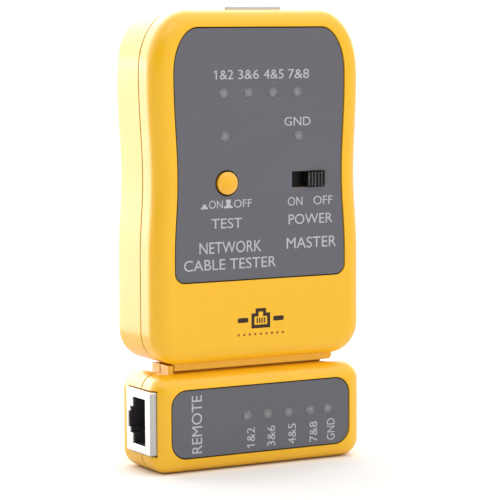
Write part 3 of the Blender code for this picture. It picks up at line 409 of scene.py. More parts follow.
def soften(piece, width, segments=3, angle=40):
    step = piece.modifiers.new("soft edges", "BEVEL")
    step.width = width
    step.segments = segments
    step.limit_method = "ANGLE"
    step.angle_limit = math.radians(angle)
    return step


def evaluated(piece):
    bpy.context.view_layer.update()
    graph = bpy.context.evaluated_depsgraph_get()
    made = piece.evaluated_get(graph)
    return bpy.data.meshes.new_from_object(made, preserve_all_data_layers=True, depsgraph=graph)


def settle(piece):
    mesh = evaluated(piece)
    mesh.transform(piece.matrix_world)
    piece.matrix_world = Matrix()
    piece.modifiers.clear()
    piece.data = mesh
    return piece


def complete(piece, body, material, nodes=(), sharp=32.0):
    settle(piece)
    mesh = piece.data
    mesh.transform(Matrix.Scale(millimetre, 4))
    if material:
        mesh.materials.clear()
        mesh.materials.append(paint[material])
    mesh.shade_smooth()
    mesh.set_sharp_from_angle(angle=math.radians(sharp))
    weights = piece.modifiers.new("flat faces", "WEIGHTED_NORMAL")
    weights.keep_sharp = True
    piece.data = evaluated(piece)
    piece.modifiers.clear()
    workbench.objects.unlink(piece)
    bpy.context.scene.collection.objects.link(piece)
    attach(piece, body)
    if nodes:
        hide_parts(*nodes)
    return piece


def joined(name, pieces):
    bm = bmesh.new()
    for piece in pieces:
        bm.from_mesh(settle(piece).data)
    mesh = bpy.data.meshes.new(name)
    bm.to_mesh(mesh)
    bm.free()
    for piece in pieces:
        bpy.data.objects.remove(piece)
    made = bpy.data.objects.new(name, mesh)
    workbench.objects.link(made)
    return made


# outlines of the cases, as (x, z) points

def quarter(u, v, size, start, steps=14):
    turns = [math.radians(start + 90.0 * i / steps) for i in range(steps + 1)]
    return [(u + size[0] * math.cos(a), v + size[1] * math.sin(a)) for a in turns]


def roundedBox(left, right, low, high, radius, steps=12):
    size = (radius, radius)
    corners = (
        (right - radius, low + radius), (right - radius, high - radius),
        (left + radius, high - radius), (left + radius, low + radius),
    )
    return [point for i, (u, v) in enumerate(corners) for point in quarter(u, v, size, 90 * i - 90, steps)]


caseShape = {
    "wall": 1.8, "frontFillet": 4.5, "rearFillet": 3.0, "filletSteps": 12, "innerSteps": 4, "rimRound": 0.18,
    "lipInset": 1.0, "lipThickness": 0.7, "lipHeight": 1.2, "lipClearance": 0.2,
    "neckHeight": 1.65, "neckHalfDepth": 4.4, "neckCorner": 1.0, "dockSeam": 0.4,
}
masterShape = {
    "waistDepth": 0.9, "waistDown": 41.7, "rise": 24.1, "fall": 20.1,
    "topCorner": (11.0, 15.0), "lowCorner": (8.0, 8.0), "sideSteps": 44,
}
remoteShape = {"corner": 4.75}
masterFrontLow, masterFrontHigh = boxOf("master_front_shell")
masterRearHigh = boxOf("master_rear_shell")[1]
remoteFrontHigh = boxOf("remote_front_shell")[1]
remoteRearHigh = boxOf("remote_rear_shell")[1]
frontY = masterFrontLow.y
neckLow = masterFrontLow.z
masterLow = neckLow + caseShape["neckHeight"]
masterTop = masterFrontHigh.z
masterHalf = masterFrontHigh.x
remoteHalf = remoteFrontHigh.x
remoteTop = 24.9
partingY = -3.0  # where front and rear shells meet
seam = 0.3
loose = 0.3  # what parts that don't touch keep between them
past = 1.0  # how far a cutting shape passes the surface


def sideAt(z):
    above = z - (masterTop - masterShape["waistDown"])
    share = min(abs(above) / (masterShape["rise"] if above > 0 else masterShape["fall"]), 1.0)
    return masterHalf - masterShape["waistDepth"] * 0.5 * (1 + math.cos(math.pi * share))


def waisted(inset, low, high, lowCorner, topCorner):
    start, stop = low + lowCorner[1], high - topCorner[1]
    steps = masterShape["sideSteps"]
    right = quarter(sideAt(start) - inset - lowCorner[0], start, lowCorner, -90)
    right += [(sideAt(z) - inset, z) for z in (start + (stop - start) * i / steps for i in range(1, steps))]
    right += quarter(sideAt(stop) - inset - topCorner[0], stop, topCorner, 0)
    return right + [(-x, z) for x, z in reversed(right)]


def masterOutline(inset):
    lowCorner = tuple(size - inset for size in masterShape["lowCorner"])
    topCorner = tuple(size - inset for size in masterShape["topCorner"])
    return waisted(inset, masterLow + inset, masterTop - inset, lowCorner, topCorner)


def remoteOutline(inset):
    half = remoteHalf - inset
    return roundedBox(-half, half, inset, remoteTop - inset, remoteShape["corner"] - inset)


masterLabelLow, masterLabelHigh = boxOf("master_label")
remoteLabelLow, remoteLabelHigh = boxOf("remote_label")
labelShape = {
    "sideGap": 5.7, "topCorner": (6.5, 11.0), "lowCorner": (2.5, 2.5), "remoteCorner": 4.0,
    "recessGap": 0.3, "soft": 0.1, "adhesiveShadeSheet": 0.1, "adhesiveShadeSheetOut": 0.27,
}


def masterLabelOutline(outset):
    lowCorner = tuple(size + outset for size in labelShape["lowCorner"])
    topCorner = tuple(size + outset for size in labelShape["topCorner"])
    low, high = masterLabelLow.z - outset, masterLabelHigh.z + outset
    return waisted(labelShape["sideGap"] - outset, low, high, lowCorner, topCorner)


def remoteLabelOutline(outset):
    left, right = remoteLabelLow.x - outset, remoteLabelHigh.x + outset
    low, high = remoteLabelLow.z - outset, remoteLabelHigh.z + outset
    return roundedBox(left, right, low, high, labelShape["remoteCorner"] + outset)


def fillet(outlineAt, face, way, start, radius, steps):
    rings = []
    for i in range(steps + 1):
        turn = math.pi / 2 * i / steps
        inset, depth = (start + radius * (1 - share) for share in (math.cos(turn), math.sin(turn)))
        rings.append((outlineAt(inset), face + way * depth, math.sin(2 * turn)))
    return rings


def outerRings(outlineAt, face, way, rim, radius):  # from the face round the fillet to the rim's rounded edge; the fillet and rim carry slight edge wear, and the last ring is painted shade at the seam
    soft = caseShape["rimRound"]
    rings = list(reversed(fillet(outlineAt, face, way, 0.0, radius, caseShape["filletSteps"])))
    rings += [(outlineAt(0.0), rim - way * soft, 0.3), (outlineAt(soft * 0.3), rim - way * soft * 0.3, 0.1)]
    return rings + [(outlineAt(soft), rim, -0.7)]


def innerRings(outlineAt, face, way, radius):
    wall = caseShape["wall"]
    rings = fillet(outlineAt, face, way, wall, radius - wall, caseShape["innerSteps"])
    return [(outline, y) for outline, y, edge in rings]


def frontShell(name, outlineAt):
    shape = caseShape
    rim = partingY - seam / 2
    deep = rim - shape["lipHeight"] - shape["lipClearance"]
    relief = outlineAt(shape["lipInset"] - shape["lipClearance"])
    rings = outerRings(outlineAt, frontY, 1, rim, shape["frontFillet"])
    # the lip relief's walls carry edge -1, painted shade inside the seam
    rings += [(relief, rim, -1.0), (relief, deep, -1.0), (outlineAt(shape["wall"]), deep)]
    return loft(name, rings + innerRings(outlineAt, frontY, 1, shape["frontFillet"]))


def rearShell(name, outlineAt, rearY):
    shape = caseShape
    rim = partingY + seam / 2
    crest = rim - shape["lipHeight"]
    outer, inner = outlineAt(shape["lipInset"]), outlineAt(shape["lipInset"] + shape["lipThickness"])
    rings = outerRings(outlineAt, rearY, -1, rim, shape["rearFillet"])
    # the lip's outer wall carries edge -1, painted shade inside the seam
    rings += [(outer, rim, -1.0), (outer, crest, -1.0), (inner, crest), (inner, rim)]
    rings.append((outlineAt(shape["wall"]), rim))
    return loft(name, rings + innerRings(outlineAt, rearY, -1, shape["rearFillet"]))


def rods(name, places, radius, start, end):
    made = [loft("rod", [(circle(x, z, radius), start), (circle(x, z, radius), end)]) for x, z in places]
    return joined(name, made)


def lippedHole(name, outlineAt, face, depth, lip=0.15, way=1, rim=0.6):  # lighter at its rim as wear and painted highlight, and painted shade on the walls inside
    rings = [(outlineAt(lip), face - way * 2 * past), (outlineAt(lip), face, rim)]
    steps = 3
    for i in range(1, steps + 1):
        turn = math.pi / 2 * i / steps
        inset = lip * (1 - math.sin(turn))
        rings.append((outlineAt(inset), face + way * lip * (1 - math.cos(turn)), rim * math.cos(turn)))
    rings.append((outlineAt(0.0), face + way * (lip + 0.25 * (depth - lip)), -1.0))
    rings.append((outlineAt(0.0), face + way * depth, -1.0))
    return loft(name, rings)


pairNodes = ["light_1_2", "light_3_6", "light_4_5", "light_7_8"]
lightNodes = [*pairNodes, "power_light", "ground_light"]
remoteLightNodes = ["remote_" + node for node in (*pairNodes, "ground_light")]
lightShape = {
    "radius": 1.43, "holeRadius": 1.45, "crown": 0.09, "soft": 0.06,
    "flange": 1.8, "flangeThickness": 1.0, "post": 1.5,
}
buttonShape = {
    "radius": 2.85, "holeRadius": 3.25, "crown": 0.8, "soft": 0.35, "flange": 3.7, "flangeThickness": 0.8,
}
slotShape = {"left": 8.95, "right": 18.6, "height": 4.1, "corner": 0.25}
buttonPlace = centreOf("test_button")
slotZ = centreOf("power_knob").z
screwNodes = [f"master_screw_{i}" for i in range(1, 5)]
remoteScrewNodes = [f"remote_screw_{i}" for i in range(1, 3)]
screwPlaces = [(centreOf(node).x, centreOf(node).z) for node in screwNodes]
remoteScrewPlaces = [(centreOf(node).x, centreOf(node).z) for node in remoteScrewNodes]


def lightHoles(name, nodes, face, depth, lip, rim=0.6):
    made = []
    for node in nodes:
        place = centreOf(node)

        def outlineAt(out):
            return circle(place.x, place.z, lightShape["holeRadius"] + out, 40)

        made.append(lippedHole(node + "Hole", outlineAt, face, depth, lip, 1, rim))
    return joined(name, made)


def controlHoles(name, face, depth, lip, rim=0.6):
    left, right, corner = slotShape["left"], slotShape["right"], slotShape["corner"]
    low, high = slotZ - slotShape["height"] / 2, slotZ + slotShape["height"] / 2

    def buttonAt(out):
        return circle(buttonPlace.x, buttonPlace.z, buttonShape["holeRadius"] + out, 64)

    def slotAt(out):
        return roundedBox(left - out, right + out, low - out, high + out, corner + out, 4)

    button = lippedHole("buttonHole", buttonAt, face, depth, lip, 1, rim)
    return joined(name, [button, lippedHole("slotHole", slotAt, face, depth, lip, 1, rim)])


def jackOpening(name, node, low, high):
    jackLow, jackHigh = boxOf(node)
    return block(name, (low[0], jackLow.y - loose, low[1]), (high[0], jackHigh.y + loose, high[1]))


dock = {
    "channelLip": 0.65, "clearance": 0.2, "stemHalf": 2.2, "headHalf": 3.5, "headHeight": 0.6,
    "roofGap": 0.25, "endWall": 1.8, "stop": 1.5, "stopRise": 0.05,
    "neckHalf": 22.8, "neckSoft": 0.2, "below": 0.4,
}
ledge = neckLow + dock["channelLip"]
railTop = ledge + dock["clearance"] + dock["headHeight"]
railEnd = dock["neckHalf"] - dock["endWall"] - loose


def neckHalf(name, face, meeting):
    half, corner, soft = dock["neckHalf"], caseShape["neckCorner"], dock["neckSoft"]
    way = 1 if meeting > face else -1

    def outline(inset):
        points = [(-half + inset, neckLow + inset), (0.0, neckLow + inset)]
        points += quarter(half - corner, neckLow + corner, (corner - inset, corner - inset), -90, 6)
        return points + [(half - inset, masterLow + past), (-half + inset, masterLow + past)]

    rings = [(outline(soft), face), (outline(soft * 0.3), face + way * soft * 0.3)]
    return loft(name, rings + [(outline(0.0), face + way * soft), (outline(0.0), meeting)])


def channel():
    left, right = -dock["neckHalf"] - past, railEnd + loose
    roof = railTop + dock["clearance"] + dock["roofGap"]
    stem, head = dock["stemHalf"] + dock["clearance"], dock["headHalf"] + dock["clearance"]
    low = neckLow - dock["below"]
    throat = block("channelThroat", (left, partingY - stem, low), (right, partingY + stem, roof))
    wide = block("channelWide", (left, partingY - head, ledge), (right, partingY + head, roof))
    return throat, wide


def railHalf(name, side):
    inner = partingY + side * caseShape["dockSeam"] / 2
    root = remoteTop - past
    left = -dock["neckHalf"] - loose
    made = []
    for part, right, end, half, low, high in (
        ("Stem", railEnd, left - past, dock["stemHalf"], root, railTop),
        ("Head", railEnd, left - past, dock["headHalf"], railTop - dock["headHeight"], railTop),
        ("Stop", left, left - dock["stop"], caseShape["neckHalfDepth"], root, railTop + dock["stopRise"]),
    ):
        near, far = sorted((inner, partingY + side * half))
        # the stem and head carry edge -0.9, painted shade that darkens the gap under the neck; the stop is
        # left plain
        piece = block(name + part, (end, near, low), (right, far, high), 0.0 if part == "Stop" else -0.9)
        soften(piece, 0.12, 2)
        made.append(settle(piece))
    return made


print("case shells")
postShape = {  # radii, and how far a post reaches into its wall
    "master": 3.2, "remoteFront": 2.6, "remoteRear": 2.9, "bore": 1.6, "frontRoot": 0.45, "rearRoot": 0.9,
}
bore, masterPost = postShape["bore"], postShape["master"]
inside = frontY + caseShape["wall"]
neckFront, neckRear = (partingY + side * caseShape["neckHalfDepth"] for side in (-1, 1))
dockFront, dockRear = (partingY + side * caseShape["dockSeam"] / 2 for side in (-1, 1))
recessDepth = masterLabelHigh.y - frontY + labelShape["adhesiveShadeSheet"]
recessBed = frontY + recessDepth
holeDepth, sharpLip, recessLip = 3.0, 0.01, 0.12
jackReach = 5.4
masterJackLow, masterJackHigh = boxOf("master_jack_shield")
remoteJackLow, remoteJackHigh = boxOf("remote_jack_shield")
upperOpening = (
    (masterJackLow.x - loose, masterTop - jackReach), (masterJackHigh.x + loose, masterTop + past),
)
sideOpening = (
    (-remoteHalf - past, remoteJackLow.z - loose), (-remoteHalf + jackReach, remoteJackHigh.z + loose),
)


def labelRecess(outlineAt):
    gap = labelShape["recessGap"]
    return lippedHole("recess", lambda out: outlineAt(gap + out), frontY, recessDepth, recessLip)


masterFront = frontShell("masterFrontShell", masterOutline)
frontRoot = inside - postShape["frontRoot"]
weld(masterFront, rods("posts", screwPlaces, masterPost, frontRoot, partingY - seam))
weld(masterFront, neckHalf("frontNeck", neckFront, dockFront))
cut(masterFront, rods("bores", screwPlaces, bore, inside, partingY + past), *channel())
cut(masterFront, labelRecess(masterLabelOutline))
# the hole walls under the label are painted shade from the face inward (rim -1)
cut(masterFront, lightHoles("lightHoles", lightNodes, recessBed, holeDepth, sharpLip, -1.0))
cut(masterFront, controlHoles("controlHoles", recessBed, holeDepth, sharpLip, -1.0))
cut(masterFront, jackOpening("jackOpening", "master_jack_shield", *upperOpening))
complete(masterFront, "master", "caseYellow", ["master_front_shell"])

doorHigh = boxOf("battery_door")[1]
doorShape = {
    "halfWidth": doorHigh.x, "low": masterLow + 4.3, "height": 27.0, "corner": 2.0,
    "gap": 0.3, "opening": 5.4, "soft": 0.2, "root": 0.6,
    "tongues": (-14.0, 14.0), "tongueHalf": 3.0, "ribs": (-16.0, 0.0, 16.0), "ribHalf": 0.6, "ribInset": 5.0,
    "grips": 3, "gripHalf": 7.0, "gripHeight": 0.8, "gripPitch": 2.0, "gripDepth": 0.6,
    "arrowHalf": 2.2, "arrowAt": 11.8, "arrowHeight": 3.4, "arrowDepth": 0.35,
}


def doorOutline(outset):
    half, low = doorShape["halfWidth"] + outset, doorShape["low"] - outset
    high = doorShape["low"] + doorShape["height"] + outset
    return roundedBox(-half, half, low, high, doorShape["corner"] + outset, 10)


masterRearY, remoteRearY = masterRearHigh.y, remoteRearHigh.y
screwShape = {
    "headRadius": 2.5, "headThickness": 1.8, "recess": 3.0, "radius": 1.3, "coreShare": 0.82, "tipShare": 0.7,
    "head": ((0.45, 0.02), (0.7, 0.12), (0.88, 0.36), (0.97, 0.7), (1.0, 1.0)),  # radius shares and depths
    "threadPitch": 0.45, "threadStart": 0.3, "plainEnd": 1.5, "tip": 0.6,
    "crossHalf": 1.55, "crossHalfWidth": 0.33, "crossDepth": 1.1,
}


def screwSeats(places, rearY):
    wide, deep = screwShape["headRadius"] + loose, screwShape["recess"]
    made = []
    for x, z in places:
        made.append(lippedHole("seat", lambda out: circle(x, z, wide + out, 40), rearY, deep, 0.2, -1))
    return joined("seats", made)


masterRear = rearShell("masterRearShell", masterOutline, masterRearY)
rearRoot = masterRearY - postShape["rearRoot"]
weld(masterRear, rods("posts", screwPlaces, masterPost, partingY + seam, rearRoot))
weld(masterRear, neckHalf("rearNeck", neckRear, dockRear))
cut(masterRear, rods("bores", screwPlaces, bore, partingY - past, masterRearY + past))
cut(masterRear, screwSeats(screwPlaces, masterRearY), *channel())
doorGap, doorDepth = doorShape["gap"], doorShape["opening"]
doorHole = lippedHole("doorHole", lambda out: doorOutline(doorGap + out), masterRearY, doorDepth, 0.15, -1)
cut(masterRear, doorHole)
cut(masterRear, jackOpening("jackOpening", "master_jack_shield", *upperOpening))
complete(masterRear, "master", "caseYellow", ["master_rear_shell"])

remoteFront = frontShell("remoteFrontShell", remoteOutline)
weld(remoteFront, rods("posts", remoteScrewPlaces, postShape["remoteFront"], frontRoot, partingY - seam))
weld(remoteFront, *railHalf("frontRail", -1))
cut(remoteFront, rods("bores", remoteScrewPlaces, bore, inside, partingY + past))
cut(remoteFront, labelRecess(remoteLabelOutline))
# the light hole walls under the label are painted shade from the face inward (rim -1)
cut(remoteFront, lightHoles("lightHoles", remoteLightNodes, recessBed, holeDepth, sharpLip, -1.0))
cut(remoteFront, jackOpening("jackOpening", "remote_jack_shield", *sideOpening))
complete(remoteFront, "remote", "caseYellow", ["remote_front_shell"])

remoteRear = rearShell("remoteRearShell", remoteOutline, remoteRearY)
rearRoot = remoteRearY - postShape["rearRoot"]
weld(remoteRear, rods("posts", remoteScrewPlaces, postShape["remoteRear"], partingY + seam, rearRoot))
weld(remoteRear, *railHalf("rearRail", 1))
cut(remoteRear, rods("bores", remoteScrewPlaces, bore, partingY - past, remoteRearY + past))
cut(remoteRear, screwSeats(remoteScrewPlaces, remoteRearY))
cut(remoteRear, jackOpening("jackOpening", "remote_jack_shield", *sideOpening))
complete(remoteRear, "remote", "caseYellow", ["remote_rear_shell"])


def label(name, node, outlineAt, holes, body):
    low, high = boxOf(node)
    soft, out = labelShape["soft"], labelShape["adhesiveShadeSheetOut"]
    near, far = high.y + 0.01, high.y + labelShape["adhesiveShadeSheet"] - 0.01
    rings = [(outlineAt(-soft), low.y, 0.2), (outlineAt(-soft * 0.3), low.y + soft * 0.3, 1.0)]
    made = loft(name, rings + [(outlineAt(0.0), low.y + soft, 1.0), (outlineAt(0.0), high.y, 1.0)])
    cut(made, *holes)
    complete(made, body, "labelGrey", [node])
    # the glue layer under the label reaches past it into the recess gap; its dark colour is painted shade for
    # that gap
    adhesiveShadeSheet = loft(name + "Adhesive", [(outlineAt(out), near), (outlineAt(out), far)])
    cut(adhesiveShadeSheet, *holes)
    complete(adhesiveShadeSheet, body, "adhesiveShadeSheet")


print("labels")
face = masterLabelLow.y
lightCuts = lightHoles("labelLightHoles", lightNodes, face, holeDepth, sharpLip)
remoteLightCuts = lightHoles("remoteLabelLightHoles", remoteLightNodes, face, holeDepth, sharpLip)
controlCuts = controlHoles("labelControlHoles", face, holeDepth, 0.08)
label("masterLabel", "master_label", masterLabelOutline, [lightCuts, controlCuts], "master")
label("remoteLabel", "remote_label", remoteLabelOutline, [remoteLightCuts], "remote")

# words with the span they fill: left, right, low and high
masterWords = [
    ("1&2", -13.3, -7.8, 98.0, 100.35), ("3&6", -6.4, -0.5, 98.0, 100.35),
    ("4&5", 0.9, 6.6, 98.0, 100.35), ("7&8", 7.9, 14.0, 98.0, 100.35), ("GND", 6.8, 14.4, 86.1, 88.3),
    ("ON", -14.85, -10.95, 66.05, 68.05), ("OFF", -7.8, -2.75, 66.05, 68.05),
    ("ON", 7.7, 12.0, 65.9, 68.1), ("OFF", 15.2, 20.8, 65.9, 68.1),
    ("TEST", -14.2, -5.5, 61.0, 63.5), ("POWER", 7.9, 20.8, 61.15, 63.7),
    ("MASTER", 7.3, 21.9, 55.0, 57.8), ("NETWORK", -17.6, 0.0, 54.8, 57.7),
    ("CABLE TESTER", -21.95, 4.2, 50.7, 53.4),
]
remoteWords = [  # turned to read upwards
    ("REMOTE", -20.1, -17.2, 5.0, 19.6), ("1&2", -4.45, -2.15, 5.0, 10.2), ("3&6", 1.45, 3.75, 5.0, 10.2),
    ("4&5", 7.55, 9.85, 5.0, 10.2), ("7&8", 13.85, 16.15, 5.0, 10.2), ("GND", 19.05, 21.35, 5.0, 10.6),
]
printDepth = {"above": 0.02, "below": 0.06}  # how far print stands out of its surface and reaches into it
serif = {"inside": 0.03, "outside": 0.16, "thick": 0.12}  # of a letter's height


def flagged(mesh):  # the built-in figure one is a bare stem
    stem = min(vertex.co.x for vertex in mesh.vertices)
    tip = max(vertex.co.y for vertex in mesh.vertices)
    near, far, thick = stem + serif["inside"], stem - serif["outside"], serif["thick"]
    plain = bpy.data.objects.new("figure", mesh)
    workbench.objects.link(plain)
    points = [(near, tip), (near, tip - thick), (far, tip - 2 * thick), (far, tip - thick)]
    figure = joined("figure", [plain, loft("serif", [(points, -0.5), (points, 0.5)], upright)])
    whole = figure.data
    bpy.data.objects.remove(figure)
    return whole


def word(text, left, right, low, high, turnedUp=False):
    letters = bpy.data.curves.new(text, "FONT")
    letters.body = text
    letters.resolution_u = 6
    letters.extrude = 0.5
    made = bpy.data.objects.new("word", letters)
    workbench.objects.link(made)
    mesh = evaluated(made)
    bpy.data.objects.remove(made)
    if text[0] == "1":
        mesh = flagged(mesh)
    points = [vertex.co.to_tuple() for vertex in mesh.vertices]
    start = Vector(map(min, *points))
    size = Vector(map(max, *points)) - start
    rear, deep = face + printDepth["below"], printDepth["above"] + printDepth["below"]
    for vertex in mesh.vertices:
        share = Vector((vertex.co[i] - start[i]) / size[i] for i in range(3))
        if turnedUp:
            share.x, share.y = 1 - share.y, share.x
        vertex.co = (left + share.x * (right - left), rear - share.z * deep, low + share.y * (high - low))
    mesh.update()
    made = bpy.data.objects.new("word", mesh)
    workbench.objects.link(made)
    return made


def shapeOn(points, level):  # a flat printed shape from its outline
    return loft("shape", [(points, level - printDepth["above"]), (points, level + printDepth["below"])])


def finishPrint(name, pieces, body, material):
    made = joined(name, pieces)
    bm = bmesh.new()
    bm.from_mesh(made.data)
    bmesh.ops.remove_doubles(bm, verts=bm.verts, dist=0.0005)
    bmesh.ops.recalc_face_normals(bm, faces=bm.faces)
    bm.to_mesh(made.data)
    bm.free()
    return complete(made, body, material)


print("lettering")
buttonIn = [
    (-17.15, 66.0), (-15.1, 66.0), (-15.1, 66.35), (-15.5, 66.5),
    (-15.85, 67.2), (-16.4, 67.2), (-16.75, 66.5), (-17.15, 66.35),
]
buttonOut = [
    (-10.6, 66.0), (-8.15, 66.0), (-8.15, 66.45), (-8.75, 66.6), (-8.9, 67.2), (-8.7, 67.5),
    (-8.7, 68.15), (-10.05, 68.15), (-10.05, 67.5), (-9.85, 67.2), (-10.0, 66.6), (-10.6, 66.45),
]
prints = [word(*entry) for entry in masterWords] + [shapeOn(buttonIn, face), shapeOn(buttonOut, face)]
finishPrint("masterLettering", prints, "master", "inkGrey")
finishPrint("remoteLettering", [word(*entry, turnedUp=True) for entry in remoteWords], "remote", "inkGrey")

print("lights")


def lens(node):
    low, high = boxOf(node)
    place, radius = (low + high) / 2, lightShape["radius"]
    crown, soft = lightShape["crown"], lightShape["soft"]
    domeSteps, rimSteps = 6, 3
    # edge values rise from the centre to the rim; the lens material paints the centre lighter from them
    profile = [(0.0, low.y)]
    for i in range(1, domeSteps + 1):
        share = i / domeSteps
        profile.append(((radius - soft) * share, low.y + crown * share**2, share * 0.9))
    for i in range(1, rimSteps + 1):
        turn = math.pi / 2 * i / rimSteps
        inset, fall = soft * (1 - math.sin(turn)), soft * (1 - math.cos(turn))
        profile.append((radius - inset, low.y + crown + fall, 1.0))
    wide, post, flange = lightShape["flange"], lightShape["post"], inside + loose
    rear = flange + lightShape["flangeThickness"]
    profile += [(radius, flange), (wide, flange), (wide, rear), (post, rear), (post, high.y), (0.0, high.y)]
    return turned(node + "Lens", place.x, place.z, profile, 40)


for body, nodes in (("master", lightNodes), ("remote", remoteLightNodes)):
    complete(joined(body + "Lights", [lens(node) for node in nodes]), body, "lensEpoxy", nodes)

print("controls")
buttonLow, buttonHigh = boxOf("test_button")


def testButton():
    shape = buttonShape
    radius, crown, soft, top = shape["radius"], shape["crown"], shape["soft"], buttonLow.y
    domeSteps, rimSteps = 12, 5
    ball = (radius**2 + crown**2) / (2 * crown)
    edge = math.asin((radius - soft) / ball)
    # edge values rise towards the rounded rim and fall over it: a painted highlight ring on the dome
    profile = [(0.0, top)]
    for i in range(1, domeSteps + 1):
        turn = edge * i / domeSteps
        profile.append((ball * math.sin(turn), top + ball * (1 - math.cos(turn)), (i / domeSteps) ** 6))
    rimRadius, rimY = profile[-1][:2]
    for i in range(1, rimSteps + 1):
        turn = edge + (math.pi / 2 - edge) * i / rimSteps
        out = soft * (math.sin(turn) - math.sin(edge)) / (1 - math.sin(edge))
        profile.append((rimRadius + out, rimY + soft * (math.cos(edge) - math.cos(turn)), 1.0 - i / rimSteps))
    flange = buttonHigh.y - shape["flangeThickness"]
    # below the label face the shaft and flange carry edge -1, painted shade that darkens the ring round the
    # button
    profile += [(radius, face, -0.2), (radius, face + 0.5, -1.0), (radius, flange, -1.0)]
    profile += [(shape["flange"], flange, -1.0), (shape["flange"], buttonHigh.y), (0.0, buttonHigh.y)]
    return turned("testButton", buttonPlace.x, buttonPlace.z, profile, 72)


complete(testButton(), "test_button", "buttonOrange", ["test_button"])


def wireAlong(name, points, radius, sides=3):
    curve = bpy.data.curves.new(name, "CURVE")
    curve.dimensions = "3D"
    curve.bevel_depth = radius
    curve.bevel_resolution = sides
    curve.use_fill_caps = True
    spline = curve.splines.new("NURBS")
    spline.points.add(len(points) - 1)
    spline.use_endpoint_u = True
    spline.order_u = 3
    spline.resolution_u = 4
    for point, place in zip(spline.points, points):
        point.co = (*place, 1.0)
    made = bpy.data.objects.new(name, curve)
    workbench.objects.link(made)
    mesh = evaluated(made)
    bpy.data.objects.remove(made)
    made = bpy.data.objects.new(name, mesh)
    workbench.objects.link(made)
    return made


springShape = {"wire": 0.22, "turns": 5.5, "steps": 16, "travel": 2.5, "inset": 1.2}


def spring():
    low, high = boxOf("test_spring")
    shape = springShape
    place, wire = (low + high) / 2, shape["wire"]
    inset = wire * shape["inset"]
    coil, start, length = (high.x - low.x) / 2 - inset, low.y + inset, high.y - low.y - inset * 2
    count = int(shape["turns"] * shape["steps"])
    points = []
    for i in range(count + 1):
        turn, y = 2 * math.pi * i / shape["steps"], start + length * i / count
        points.append((place.x + coil * math.cos(turn), y, place.z + coil * math.sin(turn)))
    made = wireAlong("testSpring", points, wire)
    complete(made, "master", "springSteel", ["test_spring"])
    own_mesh(made)


knobLow, knobHigh = boxOf("power_knob")
knobShape = {
    "width": 5.0, "ridges": 6, "ridgeWidth": 0.36, "ridgeDepth": 0.45, "ridgeFoot": 0.3,
    "gap": 0.3, "cover": 0.8, "stemRoot": 0.4, "stemHalf": (1.5, 1.0),
}


def geometryTree(name, inputs):
    tree = bpy.data.node_groups.new(name, "GeometryNodeTree")
    for title, kind in inputs:
        tree.interface.new_socket(title, in_out="INPUT", socket_type=kind)
    tree.interface.new_socket("Geometry", in_out="OUTPUT", socket_type="NodeSocketGeometry")
    graph = Graph(tree)
    return tree, graph, graph.node("NodeGroupInput")


def closeTree(graph, entry, instances):
    whole = graph.node("GeometryNodeRealizeInstances", {}, {"Geometry": instances})
    done = graph.node("GeometryNodeSetMaterial", {}, {"Geometry": whole, "Material": entry.out("Material")})
    graph.node("NodeGroupOutput", {}, {0: done})


def rowTree():  # a shape repeated at an even pitch
    tree, graph, entry = geometryTree("evenRow", [
        ("Shape", "NodeSocketObject"), ("Count", "NodeSocketInt"), ("Start", "NodeSocketVector"),
        ("Step", "NodeSocketVector"), ("Material", "NodeSocketMaterial"),
    ])
    spacing = {"Count": entry.out("Count"), "Start Location": entry.out("Start"), "Offset": entry.out("Step")}
    line = graph.node("GeometryNodeMeshLine", {"mode": "OFFSET"}, spacing)
    shape = graph.node("GeometryNodeObjectInfo", {}, {"Object": entry.out("Shape")}).out("Geometry")
    spread = {"Points": line, "Instance": shape}
    closeTree(graph, entry, graph.node("GeometryNodeInstanceOnPoints", {}, spread))
    return tree


def placesTree():  # a shape on each point, turned about Y at random
    tree, graph, entry = geometryTree("onPlaces", [
        ("Places", "NodeSocketGeometry"), ("Shape", "NodeSocketObject"), ("Turn", "NodeSocketFloat"),
        ("Seed", "NodeSocketInt"), ("Material", "NodeSocketMaterial"),
    ])
    limits = {2: 0.0, 3: entry.out("Turn"), "Seed": entry.out("Seed")}
    turn = graph.node("FunctionNodeRandomValue", {"data_type": "FLOAT"}, limits, 1)
    shape = graph.node("GeometryNodeObjectInfo", {}, {"Object": entry.out("Shape")}).out("Geometry")
    angles = graph.node("ShaderNodeCombineXYZ", {}, {"Y": turn})
    spread = {"Points": entry.out("Places"), "Instance": shape, "Rotation": angles}
    closeTree(graph, entry, graph.node("GeometryNodeInstanceOnPoints", {}, spread))
    return tree


def grown(name, tree, values, points=()):
    mesh = bpy.data.meshes.new(name)
    mesh.from_pydata(points, [], [])
    made = bpy.data.objects.new(name, mesh)
    workbench.objects.link(made)
    step = made.modifiers.new(name, "NODES")
    step.node_group = tree
    for item in tree.interface.items_tree:
        if item.in_out == "INPUT" and item.name in values:
            step[item.identifier] = values[item.name]
    return settle(made)


evenRow, onPlaces = rowTree(), placesTree()


